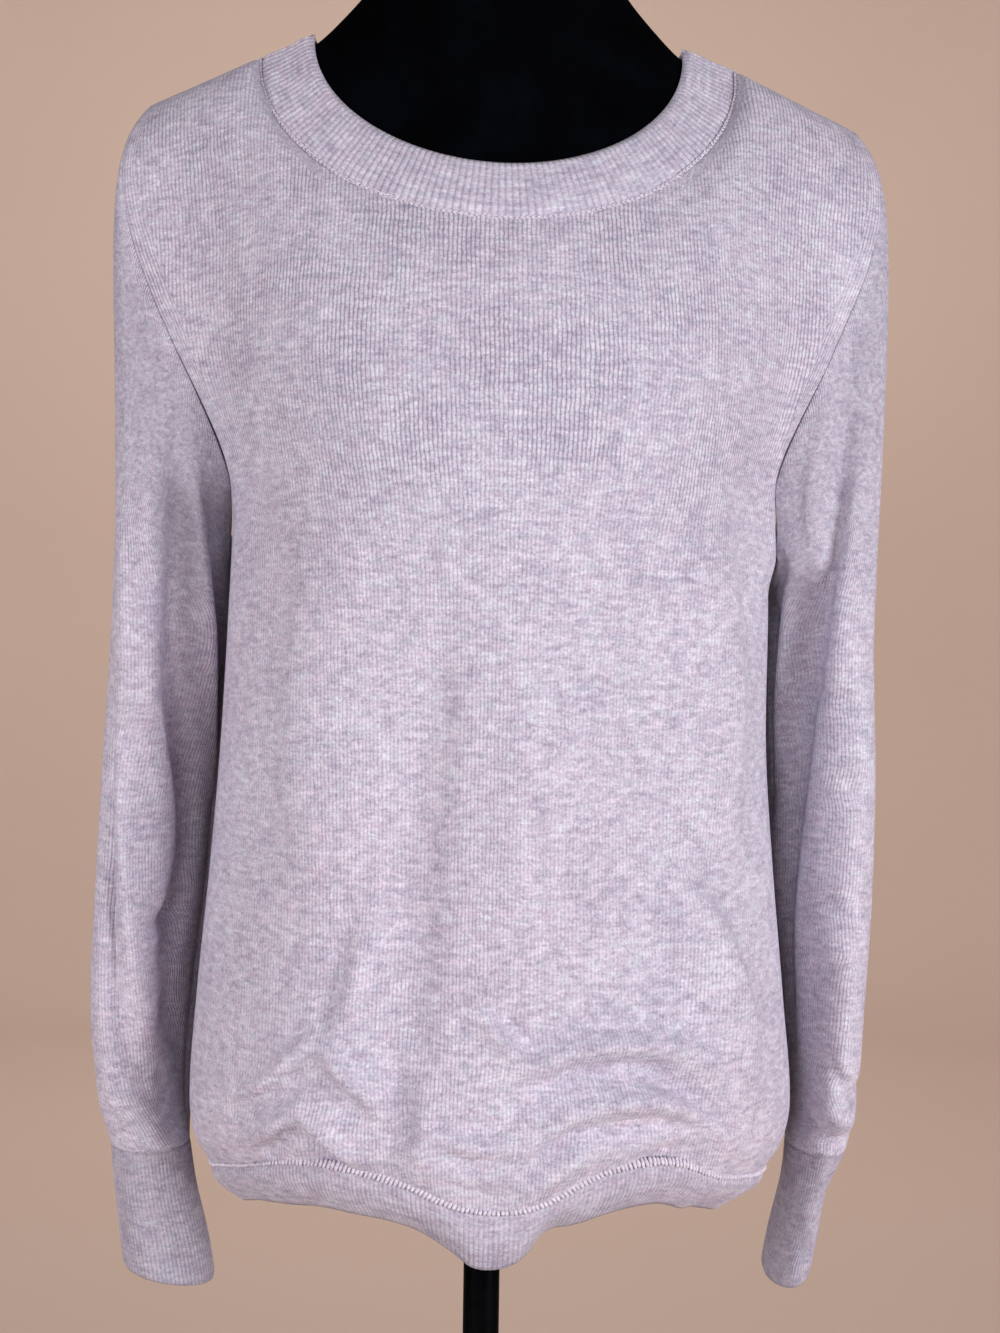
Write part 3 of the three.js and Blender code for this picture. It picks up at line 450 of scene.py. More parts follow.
def soften(p, closed, times, rows=slice(1, -1)):
    """Relaxes the inside of a grid, so that the places where two curves meet don't show."""
    p = p.copy()
    for _ in range(times):
        q = (np.roll(p, 1, 1) + np.roll(p, -1, 1) + np.roll(p, 1, 0) + np.roll(p, -1, 0)) / 4
        inner = (rows, slice(None)) if closed else (rows, slice(1, -1))
        p[inner] = lerp(p[inner], q[inner], 0.5)
    return p


def rounded(path, count=9):
    """A smooth line through a fold's few points."""
    at = np.arange(len(path), dtype=float)
    fine = np.linspace(0, len(path) - 1, count * (len(path) - 1) + 1)
    rows = {"at": at, "a": path[:, 0], "b": path[:, 1]}
    return np.stack([curve(rows, "at", fine, name) for name in "ab"], -1)


def fold_heights(folds, a, b, scale=1.0):
    """How far the folds move the cloth at the places (a, b). scale turns a's units into millimetres."""
    total = np.zeros_like(a)
    place_ab = np.stack([a * scale, b], -1)
    for f in folds:
        line = rounded(f["path"]) * (scale, 1)
        reach = 3 * max(f["near"], f["far"])
        low, high = line.min(0) - reach, line.max(0) + reach
        close = ((place_ab > low) & (place_ab < high)).all(-1)
        p = place_ab[close]
        best = np.full(len(p), np.inf)
        signed, share = np.zeros(len(p)), np.zeros(len(p))
        lengths = np.linalg.norm(np.diff(line, axis=0), axis=1)
        before = np.concatenate([[0], np.cumsum(lengths)])
        for start, end, so_far, length in zip(line[:-1], line[1:], before, lengths):
            step = end - start
            t = np.clip(((p - start) @ step) / max(length, 1e-6) ** 2, 0, 1)
            away = p - start - t[:, None] * step
            d = np.hypot(away[:, 0], away[:, 1])
            nearer = d < best
            best[nearer] = d[nearer]
            side = np.sign(step[0] * away[:, 1] - step[1] * away[:, 0])
            signed[nearer] = (side * d)[nearer]
            share[nearer] = ((so_far + t * length) / before[-1])[nearer]
        width = np.where(signed < 0, f["near"], f["far"])
        fade = np.sin(np.pi * np.clip(share, 0.04, 0.96)) ** 0.6
        total[close] += f["height"] * fade * np.exp(-((best / width) ** 2))
    return total


def flattened(p, direction, start, rounds=160):
    """Lays a grid out flat in one direction: the distance, in millimetres, that follows it best."""
    across, along = np.diff(p, axis=1), np.diff(p, axis=0)
    want_across = ((direction[:, 1:] + direction[:, :-1]) / 2 * across).sum(-1)
    want_along = ((direction[1:] + direction[:-1]) / 2 * along).sum(-1)
    size_across = np.linalg.norm(across, axis=-1) + 1e-6
    size_along = np.linalg.norm(along, axis=-1) + 1e-6
    mean_along = np.pad((size_along[:, 1:] + size_along[:, :-1]) / 2, ((0, 1), (0, 0)), "edge")
    mean_across = np.pad((size_across[1:] + size_across[:-1]) / 2, ((0, 0), (0, 1)), "edge")
    weight_across, weight_along = mean_along / size_across, mean_across / size_along

    def gathered(flow_across, flow_along, sign=-1):
        """What flows along the grid's edges, summed at each point: in at an edge's end, out at its start."""
        out = np.zeros(p.shape[:2])
        out[:, 1:] += flow_across
        out[:, :-1] += sign * flow_across
        out[1:] += flow_along
        out[:-1] += sign * flow_along
        return out

    def apply(u):
        return gathered(weight_across * np.diff(u, axis=1), weight_along * np.diff(u, axis=0))

    scale = gathered(weight_across, weight_along, 1)
    u = start.copy()
    r = gathered(weight_across * want_across, weight_along * want_along) - apply(u)
    z = r / scale
    d, rz = z, (r * z).sum()
    for _ in range(rounds):
        q = apply(d)
        step = rz / max((d * q).sum(), 1e-12)
        u += step * d
        r -= step * q
        z = r / scale
        again = (r * z).sum()
        d, rz = z + again / max(rz, 1e-12) * d, again
    return u


# ---------------------------------------------------------------- meshes


def linked(name, data):
    obj = bpy.data.objects.new(name, data)
    bpy.context.scene.collection.objects.link(obj)
    return obj


def smooth_object(name, mesh):
    mesh.polygons.foreach_set("use_smooth", np.ones(len(mesh.polygons), bool))
    return linked(name, mesh)


def new_object(name, vertices, faces):
    mesh = bpy.data.meshes.new(name)
    mesh.from_pydata(vertices, [], faces)
    mesh.update()
    return smooth_object(name, mesh)


def grid_faces(rows, columns, closed, flip, first=0):
    i, j = np.meshgrid(np.arange(rows - 1), np.arange(columns if closed else columns - 1), indexing="ij")
    k = (j + 1) % columns
    quads = np.stack([i * columns + j, i * columns + k, (i + 1) * columns + k, (i + 1) * columns + j], -1)
    quads = quads.reshape(-1, 4) + first
    return quads[:, ::-1] if flip else quads


def joined(p, closed, reach=0.25):
    """Draws a grid's edges out a little, so that linked pieces meet in their seam."""
    p = p.copy()
    p[0], p[-1] = p[0] + reach * unit(p[0] - p[1]), p[-1] + reach * unit(p[-1] - p[-2])
    if not closed:
        p[:, 0] += reach * unit(p[:, 0] - p[:, 1])
        p[:, -1] += reach * unit(p[:, -1] - p[:, -2])
    return p


def picked(count, step):
    """Every so many of a row of points, with its last one."""
    return np.unique(np.concatenate([np.arange(0, count, step), [count - 1]]))


def cloth(name, points, out, closed, flip, stitches, second=None, coarse=4):
    """A piece of cloth: a fine outer face, a coarser inner face one wall behind it, and the rims between.

    stitches counts the wales and courses at each point, for the material. On a closed grid it has one more
    column than the points, where the piece comes round again. second is a mask of faces and the count there.
    """
    rows, columns = points.shape[:2]
    points = joined(points, closed)
    row_pick = picked(rows, coarse)
    column_pick = np.arange(0, columns, coarse) if closed else picked(columns, coarse)
    inner = (points - out * WALL)[row_pick][:, column_pick]
    vertices = np.concatenate([points.reshape(-1, 3), inner.reshape(-1, 3)]) / 1000
    first = rows * columns
    quads = grid_faces(rows, columns, closed, flip)
    inner_quads = grid_faces(len(row_pick), len(column_pick), closed, not flip, first)
    faces = [*map(tuple, quads.tolist()), *map(tuple, inner_quads.tolist())]
    outer_index = np.arange(first).reshape(rows, columns)
    inner_index = first + np.arange(inner.shape[0] * inner.shape[1]).reshape(inner.shape[:2])

    def edge(line, picks, inside, turned):
        if closed and len(line) == columns:
            line, inside = np.append(line, line[0]), np.append(inside, inside[0])
            picks = np.append(picks, columns)
        for start, end, near, far in zip(picks[:-1], picks[1:], inside[:-1], inside[1:]):
            ring = [*line[start : end + 1].tolist(), int(far), int(near)]
            faces.append(tuple(ring[::-1] if turned else ring))

    edge(outer_index[0], column_pick, inner_index[0], not flip)
    edge(outer_index[-1], column_pick, inner_index[-1], flip)
    if not closed:
        edge(outer_index[:, 0], row_pick, inner_index[:, 0], flip)
        edge(outer_index[:, -1], row_pick, inner_index[:, -1], not flip)
    obj = new_object(name, vertices.tolist(), faces)

    # where each corner of each face is, in stitches
    loops = np.empty(len(obj.data.loops), np.int64)
    obj.data.loops.foreach_get("vertex_index", loops)
    at_points = stitches[:, :columns]
    at_inner = at_points[row_pick][:, column_pick]
    uv = np.concatenate([at_points.reshape(-1, 2), at_inner.reshape(-1, 2)])[loops]
    unrolled = grid_faces(rows, stitches.shape[1], False, flip)
    uv[: quads.size] = stitches.reshape(-1, 2)[unrolled].reshape(-1, 2)
    if second is not None:
        mask, other = second
        corners = uv[: quads.size].reshape(-1, 4, 2)
        corners[mask.ravel()] = other.reshape(-1, 2)[unrolled][mask.ravel()]
    obj.data.uv_layers.new(name="stitches").data.foreach_set("uv", uv.ravel())
    return obj


# ---------------------------------------------------------------- the knit's gauge, in millimetres
COURSE = 1.5
WALE_BY_DROP = table("drop wale", (90, 2.45), (190, 2.4), (250, 2.2), (290, 2.02), (360, 1.94), (610, 1.92))
SIDE_WALES = {"reach": 140, "share": 0.45}  # the wales are less spread towards the sides
SLEEVE_WALE = 1.95
RIB = {"neckband": 206, "hem_band": 384, "cuff": 66}  # ribs all round
RIB_HEIGHT = {"neckband": 0.22, "hem_band": 0.16, "cuff": 0.16}
RIB_FULLNESS = 0.7  # below 1 a rib is wider than the groove beside it
FASHIONED = {"armhole": 12, "neck": 13}  # widths of the bands whose wales follow the seam
NECK_CHAIN = {
    "stitches": 262, "length": 2.9, "apart": 0.42, "slant": 0.2, "radius": 0.46, "proud": 0.35,
    "shoulder": (78, 104), "lift": 1.1,
}
HEM_STITCH = table(
    "angle tall",
    (-180, 4.0), (-110, 4.0), (-80, 2.0), (-54, 2.0), (-44, 4.6), (-16, 5.0), (-9, 3.0), (8, 2.8), (15, 4.4),
    (54, 4.6), (64, 2.6), (110, 4.0), (180, 4.0),
)
HEM_THREAD = {"slant": 0.22, "radius": 1.08, "proud": 0.72, "up": 0.22}
THREAD_STRAY = 0.08  # how far a stitch lies from its even place
SEAM = {"sink": 0.45, "width": 1.6}  # cloth dips into a linked seam
# How much of that dip each edge has.
DIP_SHARE = {"neck": 0.25, "armhole": 0.5, "hem": 0.25, "cuff": 0.2}
ROLLED_EDGE = {"depth": 0.9, "width": 2.5}  # a band's free edge rounds over
NECKBAND_CROWN = {"height": 0.5, "edge": 1.6, "edgeWidth": 3.5}
# In front of each underarm the cloth behind this plane (a y) comes forward to it, by a share of the way.
# Known fault: towards the back this fades out too far round, from y = 4 to 64, so that behind each underarm
# the back panel lies up to 6 mm inside the form, and the form shows through.
FULL = {
    "plane": -46, "soft": 10, "inner": (104, 138), "outer": (194, 172), "top": (120, 180), "behind": (64, 4),
}
FULL_SHARE = {-1: 0.55, 1: 0.78}
FULL_FOOT = {-1: (272, 238), 1: (306, 284)}
# The cloth lies flush across the neck seam near the shoulders.
FLUSH = {"raise": 2.6, "reach": 11, "turn": (38, 78), "out": 0.5, "up": 0.86}


def seam_dip(distance):
    return -SEAM["sink"] * np.exp(-((distance / SEAM["width"]) ** 2))


def edge_distance(p, axis, end):
    """How far each point is from a grid's first (end 0) or last (end -1) row or column, along the grid."""
    steps = np.linalg.norm(np.diff(p, axis=axis), axis=-1)
    pad = [(0, 0), (0, 0)]
    pad[axis] = (1, 0)
    from_start = np.pad(np.cumsum(steps, axis=axis), pad)
    total = from_start[:, -1:] if axis else from_start[-1:]
    return from_start if end == 0 else total - from_start


def fuller(p):
    """The points moved forward where the cloth fills out in front of an underarm."""
    side = np.where(p[..., 0] < 0, -1, 1)
    x, y, drop = np.abs(p[..., 0]), p[..., 1], SHOULDER_HEIGHT - p[..., 2]
    behind = (y - FULL["plane"] + np.hypot(y - FULL["plane"], FULL["soft"])) / 2
    near = smoothstep(*FULL["inner"], x) * smoothstep(*FULL["outer"], x)
    near = near * smoothstep(*FULL["top"], drop) * smoothstep(*FULL["behind"], y)
    foot = np.where(side < 0, smoothstep(*FULL_FOOT[-1], drop), smoothstep(*FULL_FOOT[1], drop))
    share = np.where(side < 0, FULL_SHARE[-1], FULL_SHARE[1])
    p = p.copy()
    p[..., 1] = y - share * behind * near * foot
    return p


def flush(turn, distance):
    """How the cloth is raised beside the neck seam, by the seam's turn there and the distance from it."""
    sine = np.sin(np.radians(turn))
    raised = FLUSH["raise"] * smoothstep(*FLUSH["turn"], np.abs(turn))
    raised = raised * np.exp(-((distance / FLUSH["reach"]) ** 2))
    return np.stack([FLUSH["out"] * sine * raised, 0 * raised, FLUSH["up"] * raised], -1)


PANEL_GRID = {-1: (241, 150, 118), 1: (161, 100, 80)}  # columns, and rows below and above the underarm


def panel(face):
    """The front (face -1) or back (face 1): its points, normals and stitch counts."""
    columns, lower, upper = PANEL_GRID[face]
    across = np.linspace(-1, 1, columns) * -face
    down = np.linspace(1, 0, lower)[:-1]
    up = np.linspace(0, 1, upper)
    a, d = np.meshgrid(across, down)
    below = lower_body(face, a, d)
    a, u = np.meshgrid(across, up)
    p = np.concatenate([below, upper_body(face, a, u)])
    join = slice(lower - 25, lower + 25)
    p = soften(p, False, 40, join)
    out = normals(p, False, 1)
    a = np.broadcast_to(across, p.shape[:2])
    x, drop = p[..., 0], SHOULDER_HEIGHT - p[..., 2]
    folds = FRONT_FOLDS if face < 0 else BACK_FOLDS
    rise = fold_heights(folds, x, drop)
    sides = np.minimum(edge_distance(p, 1, 0), edge_distance(p, 1, -1))
    foot, top = edge_distance(p, 0, 0), edge_distance(p, 0, -1)
    at_neck = np.abs(a) <= NECK_SHARE
    rise = rise * smoothstep(0, 30, sides) * smoothstep(0, 40, top)
    rise = rise + seam_dip(sides) + seam_dip(foot) * DIP_SHARE["hem"]
    rise = rise + seam_dip(top) * np.where(at_neck, DIP_SHARE["neck"], DIP_SHARE["armhole"])
    p = p + out * rise[..., None]
    turn = np.linspace(-90, 90, 91)
    seam = neckline(0, face, turn)
    rows = slice(lower + 20, None)
    away = np.linalg.norm(p[rows, :, None] - seam, axis=-1)
    p[rows] += flush(turn[away.argmin(-1)], away.min(-1))
    return fuller(p), a, drop, sides, top


def knit_panel(name, face):
    p, a, drop, sides, top = panel(face)
    out = normals(p, False, 1)
    back_up = smoothstep(150, 50, drop)[..., None] * np.array([0, -face * 0.8, 0])
    upward = np.array([0, 0, 1.0]) + back_up
    along = unit(upward - (upward * out).sum(-1, keepdims=True) * out)
    sideways = unit(np.cross(along, out))
    middle = p.shape[1] // 2
    steps = (np.diff(p, axis=1) * (sideways[:, 1:] + sideways[:, :-1]) / 2).sum(-1)
    start = np.pad(np.cumsum(steps, axis=1), ((0, 0), (1, 0)))
    u = flattened(p, sideways, start - start[:, middle : middle + 1])
    steps = (np.diff(p, axis=0) * along[1:]).sum(-1)
    v = flattened(p, along, np.pad(np.cumsum(steps, axis=0), ((1, 0), (0, 0))))
    narrow = WALE_BY_DROP["wale"][-1]
    to_side = 1 - SIDE_WALES["share"] * np.minimum(np.abs(u) / SIDE_WALES["reach"], 1) ** 2
    wale = narrow + (curve(WALE_BY_DROP, "drop", drop, "wale") - narrow) * to_side
    stitches = np.stack([u / wale, v / COURSE], -1)
    # beside the armholes and high beside the neck the wales follow the seam
    lower = drop > UNDERARM_DROP - 6
    to_armhole = np.where(lower, 99, sides)
    neck_side = np.abs(a) / NECK_SHARE
    to_neck = np.where((neck_side > 0.5) & (neck_side < 1.12), top, 99)
    near = np.minimum(to_armhole, to_neck * FASHIONED["armhole"] / FASHIONED["neck"])
    mask = near < FASHIONED["armhole"]
    mask = mask[1:, 1:] & mask[:-1, :-1] & mask[1:, :-1] & mask[:-1, 1:]
    by_neck = to_neck / FASHIONED["neck"] < to_armhole / FASHIONED["armhole"]
    along_neck = edge_distance(p, 1, 0)
    second = np.where(
        by_neck[..., None],
        np.stack([top / SLEEVE_WALE, along_neck / COURSE], -1),
        np.stack([sides / SLEEVE_WALE, v / COURSE], -1),
    )
    return cloth(name, p, out, False, False, stitches, (mask, second))


def sleeve(name, side):
    around_count, cap_count, hang_count = 144, 104, 118
    turn = np.linspace(0, 360, around_count + 1)[:-1]
    t, r = np.meshgrid(np.linspace(0, 1, cap_count)[:-1], turn, indexing="ij")
    cap = sleeve_cap(side, t, r)
    drops = np.linspace(SLEEVE_TOP_DROP, CUFF_SEAM_DROP, hang_count)
    d, r = np.meshgrid(drops, turn, indexing="ij")
    p = np.concatenate([cap, tube(SLEEVE[side], side, d, r)])
    p = soften(p, True, 40, slice(cap_count - 24, cap_count + 24))
    out = normals(p, True, side)
    r = np.broadcast_to(turn, p.shape[:2])
    drop = SHOULDER_HEIGHT - p[..., 2]
    signed = np.where(r > 180, r - 360, r)
    rise = fold_heights(SLEEVE_FOLDS[side], signed, drop, scale=0.7)
    top, foot = edge_distance(p, 0, 0), edge_distance(p, 0, -1)
    rise = rise * smoothstep(0, 30, top) * smoothstep(-4, 14, foot)
    rise = rise + seam_dip(top) + seam_dip(foot) * DIP_SHARE["cuff"]
    p = p + out * rise[..., None]
    p = fuller(p)
    out = normals(p, True, side)
    steps = np.linalg.norm(np.roll(p, -1, 1) - p, axis=-1)
    round_it = np.pad(np.cumsum(steps, axis=1), ((0, 0), (1, 0)))
    total = round_it[:, -1:]
    beyond = np.append(turn, 360) > 180
    wales = np.where(beyond, round_it - total, round_it) / SLEEVE_WALE
    courses = -np.pad(foot, ((0, 0), (0, 1)), "wrap") / COURSE
    return cloth(name, p, out, True, side < 0, np.stack([wales, courses], -1))


def ribbed(name, p, outward, ribs, height, flip, fade_low, fade_high):
    """A band of 1x1 rib: its raised wales are in the mesh. The fades leave its seams and edge flat."""
    columns = p.shape[1]
    out = normals(p, True, outward)
    count = np.arange(columns + 1) / columns * ribs
    low, high = edge_distance(p, 0, 0), edge_distance(p, 0, -1)
    wave = np.abs(np.cos(np.pi * count[:columns])) ** RIB_FULLNESS
    fade = smoothstep(*fade_low, low) * smoothstep(*fade_high, high)
    p = p + out * ((wave * 2 - 1) * height * fade)[..., None]
    length = np.pad(low, ((0, 0), (0, 1)), "wrap")
    stitches = np.stack(np.broadcast_arrays(count, length / COURSE), -1)
    return cloth(name, p, out, True, flip, stitches), p


def ring_across(count):
    """Places all round the body, from the left of the front: the face of each and how far across it is."""
    t = np.arange(count) / count * 4 - 1
    front = t <= 1
    return front, np.where(front, t, 2 - t)


def hem_band():
    ribs = RIB["hem_band"]
    front, across = ring_across(ribs * 6)
    foot = np.ones_like(across)
    seam = np.where(front[:, None], lower_body(-1, across, foot), lower_body(1, across, foot))
    angle = np.where(front, around(-1, across), around(1, across))
    angle = np.where(angle > 180, angle - 360, angle)
    inward, down = (curve(HEM_CURL, "angle", angle, name) for name in ("inward", "down"))
    t = np.linspace(0, 1, 15)[:, None]
    bow = HEM_BAND["bow"] * np.sin(np.pi * t)
    xy = seam[None, :, :2] - unit(seam[:, :2]) * (inward * t ** HEM_BAND["curl"] - bow)[..., None]
    z = seam[:, 2] - down * t
    p = np.concatenate([xy, z[..., None]], -1)[::-1]
    return ribbed("hem_band", p, 1, ribs, RIB_HEIGHT["hem_band"], False, (-2, 2), (0, 3))


def neckband():
    ribs = RIB["neckband"]
    front, across = ring_across(ribs * 8)
    index = np.linspace(0, 3, 22)[:, None]
    turn = across * 90
    p = np.where(front[:, None], neckline(index, -1, turn), neckline(index, 1, turn))
    out = normals(p, True, 1)
    low, high = edge_distance(p, 0, 0), edge_distance(p, 0, -1)
    crown = NECKBAND_CROWN["height"] * smoothstep(0, 6, low) * smoothstep(0, 5, high)
    crown = crown - NECKBAND_CROWN["edge"] * smoothstep(NECKBAND_CROWN["edgeWidth"], 0, high)
    p = p + out * (crown + seam_dip(low) * DIP_SHARE["neck"])[..., None] + flush(turn + 0 * low, low)
    return ribbed("neckband", p, 1, ribs, RIB_HEIGHT["neckband"], False, (0, 3), (-1, 2.5))


def cuff(name, side):
    ribs = RIB["cuff"]
    rows = CUFF[side]
    last = rows["drop"][-1]
    turn = np.linspace(0, 360, ribs * 6 + 1)[:-1]
    d, r = np.meshgrid(np.linspace(CUFF_SEAM_DROP, last, 40), turn, indexing="ij")
    p = tube(rows, side, d, r)
    along = (d - CUFF_SEAM_DROP) / (last - CUFF_SEAM_DROP)
    p[..., 2] += along * CUFF_SLANT[side] * (1 + np.cos(np.radians(r))) / 2
    out = normals(p, True, side)
    drop = SHOULDER_HEIGHT - p[..., 2]
    signed = np.where(r > 180, r - 360, r)
    high = edge_distance(p, 0, -1)
    rise = fold_heights(CUFF_FOLDS[side], signed, drop, scale=0.5)
    rise = rise + seam_dip(edge_distance(p, 0, 0)) * DIP_SHARE["cuff"]
    rise = rise - ROLLED_EDGE["depth"] * smoothstep(ROLLED_EDGE["width"], 0, high)
    p = p + out * rise[..., None]
    return ribbed(name, p, side, ribs, RIB_HEIGHT["cuff"], side < 0, (0, 3), (-1, 2.5))


# ---------------------------------------------------------------- stitches that show


def stitch_row(name, centre, axis, half_length, radius, sides=6):
    """Short plump stitches in one mesh, each with a centre, an axis, half a length and a radius."""
    profile = np.array([(-1, 0.25), (-0.8, 0.75), (-0.35, 1), (0.35, 1), (0.8, 0.75), (1, 0.25)])
    guide = np.where(np.abs(axis[:, 2:]) < 0.9, (0.0, 0.0, 1.0), (1.0, 0.0, 0.0))
    side = unit(np.cross(axis, guide))
    other = np.cross(axis, side)
    turn = np.linspace(0, 2 * np.pi, sides + 1)[:-1]
    ring = side[:, None] * np.cos(turn)[None, :, None] + other[:, None] * np.sin(turn)[None, :, None]
    along = axis[:, None, None] * (profile[:, 0] * half_length[:, None])[..., None, None]
    around_it = ring[:, None] * (profile[:, 1] * radius[:, None])[..., None, None]
    points = centre[:, None, None] + along + around_it
    one = grid_faces(len(profile), sides, True, True)
    each = len(profile) * sides
    faces = (one[None] + np.arange(len(centre))[:, None, None] * each).reshape(-1, 4)
    caps = np.array([np.arange(sides), np.arange(each - sides, each)[::-1]])
    caps = (caps[None] + np.arange(len(centre))[:, None, None] * each).reshape(-1, sides)
    faces = [*map(tuple, faces.tolist()), *map(tuple, caps.tolist())]
    return new_object(name, (points.reshape(-1, 3) / 1000).tolist(), faces)


def along_ring(line, out, count):
    """Evenly spaced places on a closed line, with its direction and outward normal there."""
    closed = np.vstack([line, line[:1]])
    length = np.concatenate([[0], np.cumsum(np.linalg.norm(np.diff(closed, axis=0), axis=1))])
    at = (np.arange(count) + 0.5) / count * length[-1]
    where = np.stack([np.interp(at, length, closed[:, i]) for i in range(3)], -1)
    outward = np.vstack([out, out[:1]])
    normal = unit(np.stack([np.interp(at, length, outward[:, i]) for i in range(3)], -1))
    return where, unit(np.roll(where, -1, 0) - np.roll(where, 1, 0)), normal


def neck_chain(points):
    """The linked neck seam: a fine chain, each stitch two legs that open towards the next."""
    out = normals(points, True, 1)
    where, ahead, normal = along_ring(points[0], out[0], NECK_CHAIN["stitches"])
    up = np.cross(ahead, normal) * -1
    at_shoulder = smoothstep(*NECK_CHAIN["shoulder"], np.abs(where[:, :1]))
    where = where + at_shoulder * NECK_CHAIN["lift"] * np.array([0, 0, 1.0])
    centres, axes = [], []
    for leg in (-1, 1):
        centres.append(where + normal * NECK_CHAIN["proud"] + up * leg * NECK_CHAIN["apart"])
        axes.append(unit(ahead + up * leg * NECK_CHAIN["slant"]))
    centre, axis = np.concatenate(centres), np.concatenate(axes)
    centre = centre + rng.normal(0, THREAD_STRAY, centre.shape)
    length = NECK_CHAIN["length"] / 2 * rng.uniform(0.85, 1.12, len(centre))
    radius = NECK_CHAIN["radius"] * rng.uniform(0.85, 1.15, len(centre))
    return stitch_row("neck_chain", centre, axis, length, radius)


def hem_stitches(points):
    """The hem's linked seam: slanting stitches, tall where the hem turns under, short on its tongue."""
    out = normals(points, True, 1)
    where, ahead, normal = along_ring(points[-1], out[-1], RIB["hem_band"])
    angle = np.degrees(np.arctan2(where[:, 0], -where[:, 1]))
    tall = curve(HEM_STITCH, "angle", angle, "tall")
    up = unit(np.cross(normal, ahead)) * np.sign(np.cross(normal, ahead)[:, 2:])
    slant = np.sign(-where[:, :1]) * HEM_THREAD["slant"] + rng.normal(0, 0.07, (len(where), 1))
    axis = unit(up + np.array([1.0, 0, 0]) * slant)
    centre = where + normal * HEM_THREAD["proud"] + up * (tall[:, None] * HEM_THREAD["up"])
    centre = centre + rng.normal(0, THREAD_STRAY, where.shape)
    length = tall / 2 * rng.uniform(0.88, 1.1, len(where))
    radius = HEM_THREAD["radius"] * rng.uniform(0.9, 1.06, len(where))
    return stitch_row("hem_stitches", centre, axis, length, radius)


# ---------------------------------------------------------------- the stand


def smooth_copy(name):
    """The CAD node's own form, with its facets rounded off."""
    mesh = bpy.data.meshes.new(name + "_smooth")
    work = bmesh.new()
    work.from_mesh(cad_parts[name].data)
    bmesh.ops.remove_doubles(work, verts=work.verts, dist=1e-5)
    bmesh.ops.join_triangles(
        work, faces=work.faces, angle_face_threshold=math.radians(40), angle_shape_threshold=math.radians(60)
    )
    work.to_mesh(mesh)
    work.free()
    if not mesh.uv_layers:
        mesh.uv_layers.new(name="stitches")
    obj = smooth_object(name + "_smooth", mesh)
    rounding = obj.modifiers.new("rounding", "SUBSURF")
    rounding.levels = rounding.render_levels = 2
    return obj


ROUND_SEGMENTS = 96


def revolved(profile):
    """A surface of revolution about +Z. profile is a line of (radius, height) in millimetres."""
    angle = np.linspace(0, 2 * np.pi, ROUND_SEGMENTS + 1)[:-1]
    rings = np.array([[(r * np.cos(a), r * np.sin(a), z) for a in angle] for r, z in profile]) / 1000
    quads = grid_faces(len(profile), ROUND_SEGMENTS, True, False)
    return rings.reshape(-1, 3).tolist(), [tuple(q) for q in quads.tolist()]


def turned(name, profile):
    vertices, faces = revolved(profile)
    if profile[0][0] > 0 and profile[-1][0] > 0 and profile[0] != profile[-1]:
        last = (len(profile) - 1) * ROUND_SEGMENTS
        faces += [tuple(range(ROUND_SEGMENTS))[::-1], tuple(range(last, last + ROUND_SEGMENTS))]
    obj = new_object(name, vertices, faces)
    corners = obj.modifiers.new("corners", "BEVEL")
    corners.width, corners.segments, corners.limit_method = 0.0012, 3, "ANGLE"
    corners.angle_limit = math.radians(35)
    return obj


def sizes(node):
    low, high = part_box(node)
    return high.x * 1000, low.z * 1000, high.z * 1000


STAND = {"clearance": 0.3, "socketWall": 4.7, "socketPlate": 6}


def build_stand():
    pole_radius, pole_foot, pole_top = sizes("pole")
    flange, socket_foot, socket_top = sizes("pole_socket")
    collar, collar_foot, collar_top = sizes("base_collar")
    base, base_foot, base_top = sizes("base")
    bore = pole_radius + STAND["clearance"]
    sleeve_radius, plate_foot = bore + STAND["socketWall"], socket_top - STAND["socketPlate"]
    pieces = {
        "pole": [(pole_radius, pole_foot), (pole_radius, pole_top)],
        "pole_socket": [
            (bore, socket_foot), (sleeve_radius, socket_foot), (sleeve_radius, plate_foot),
            (flange, plate_foot), (flange, socket_top), (bore, socket_top), (bore, socket_foot),
        ],
        "base_collar": [
            (bore, collar_foot), (collar, collar_foot), (collar, collar_top - 6),
            (collar - 2, collar_top - 2), (collar - 5, collar_top), (bore, collar_top), (bore, collar_foot),
        ],
        "base": [
            (0.5, base_foot), (base, base_foot), (base, base_top - 3), (base - 1.5, base_top - 1),
            (base - 4, base_top), (0.5, base_top),
        ],
    }
    return {name: turned(name + "_turned", profile) for name, profile in pieces.items()}


# ---------------------------------------------------------------- materials


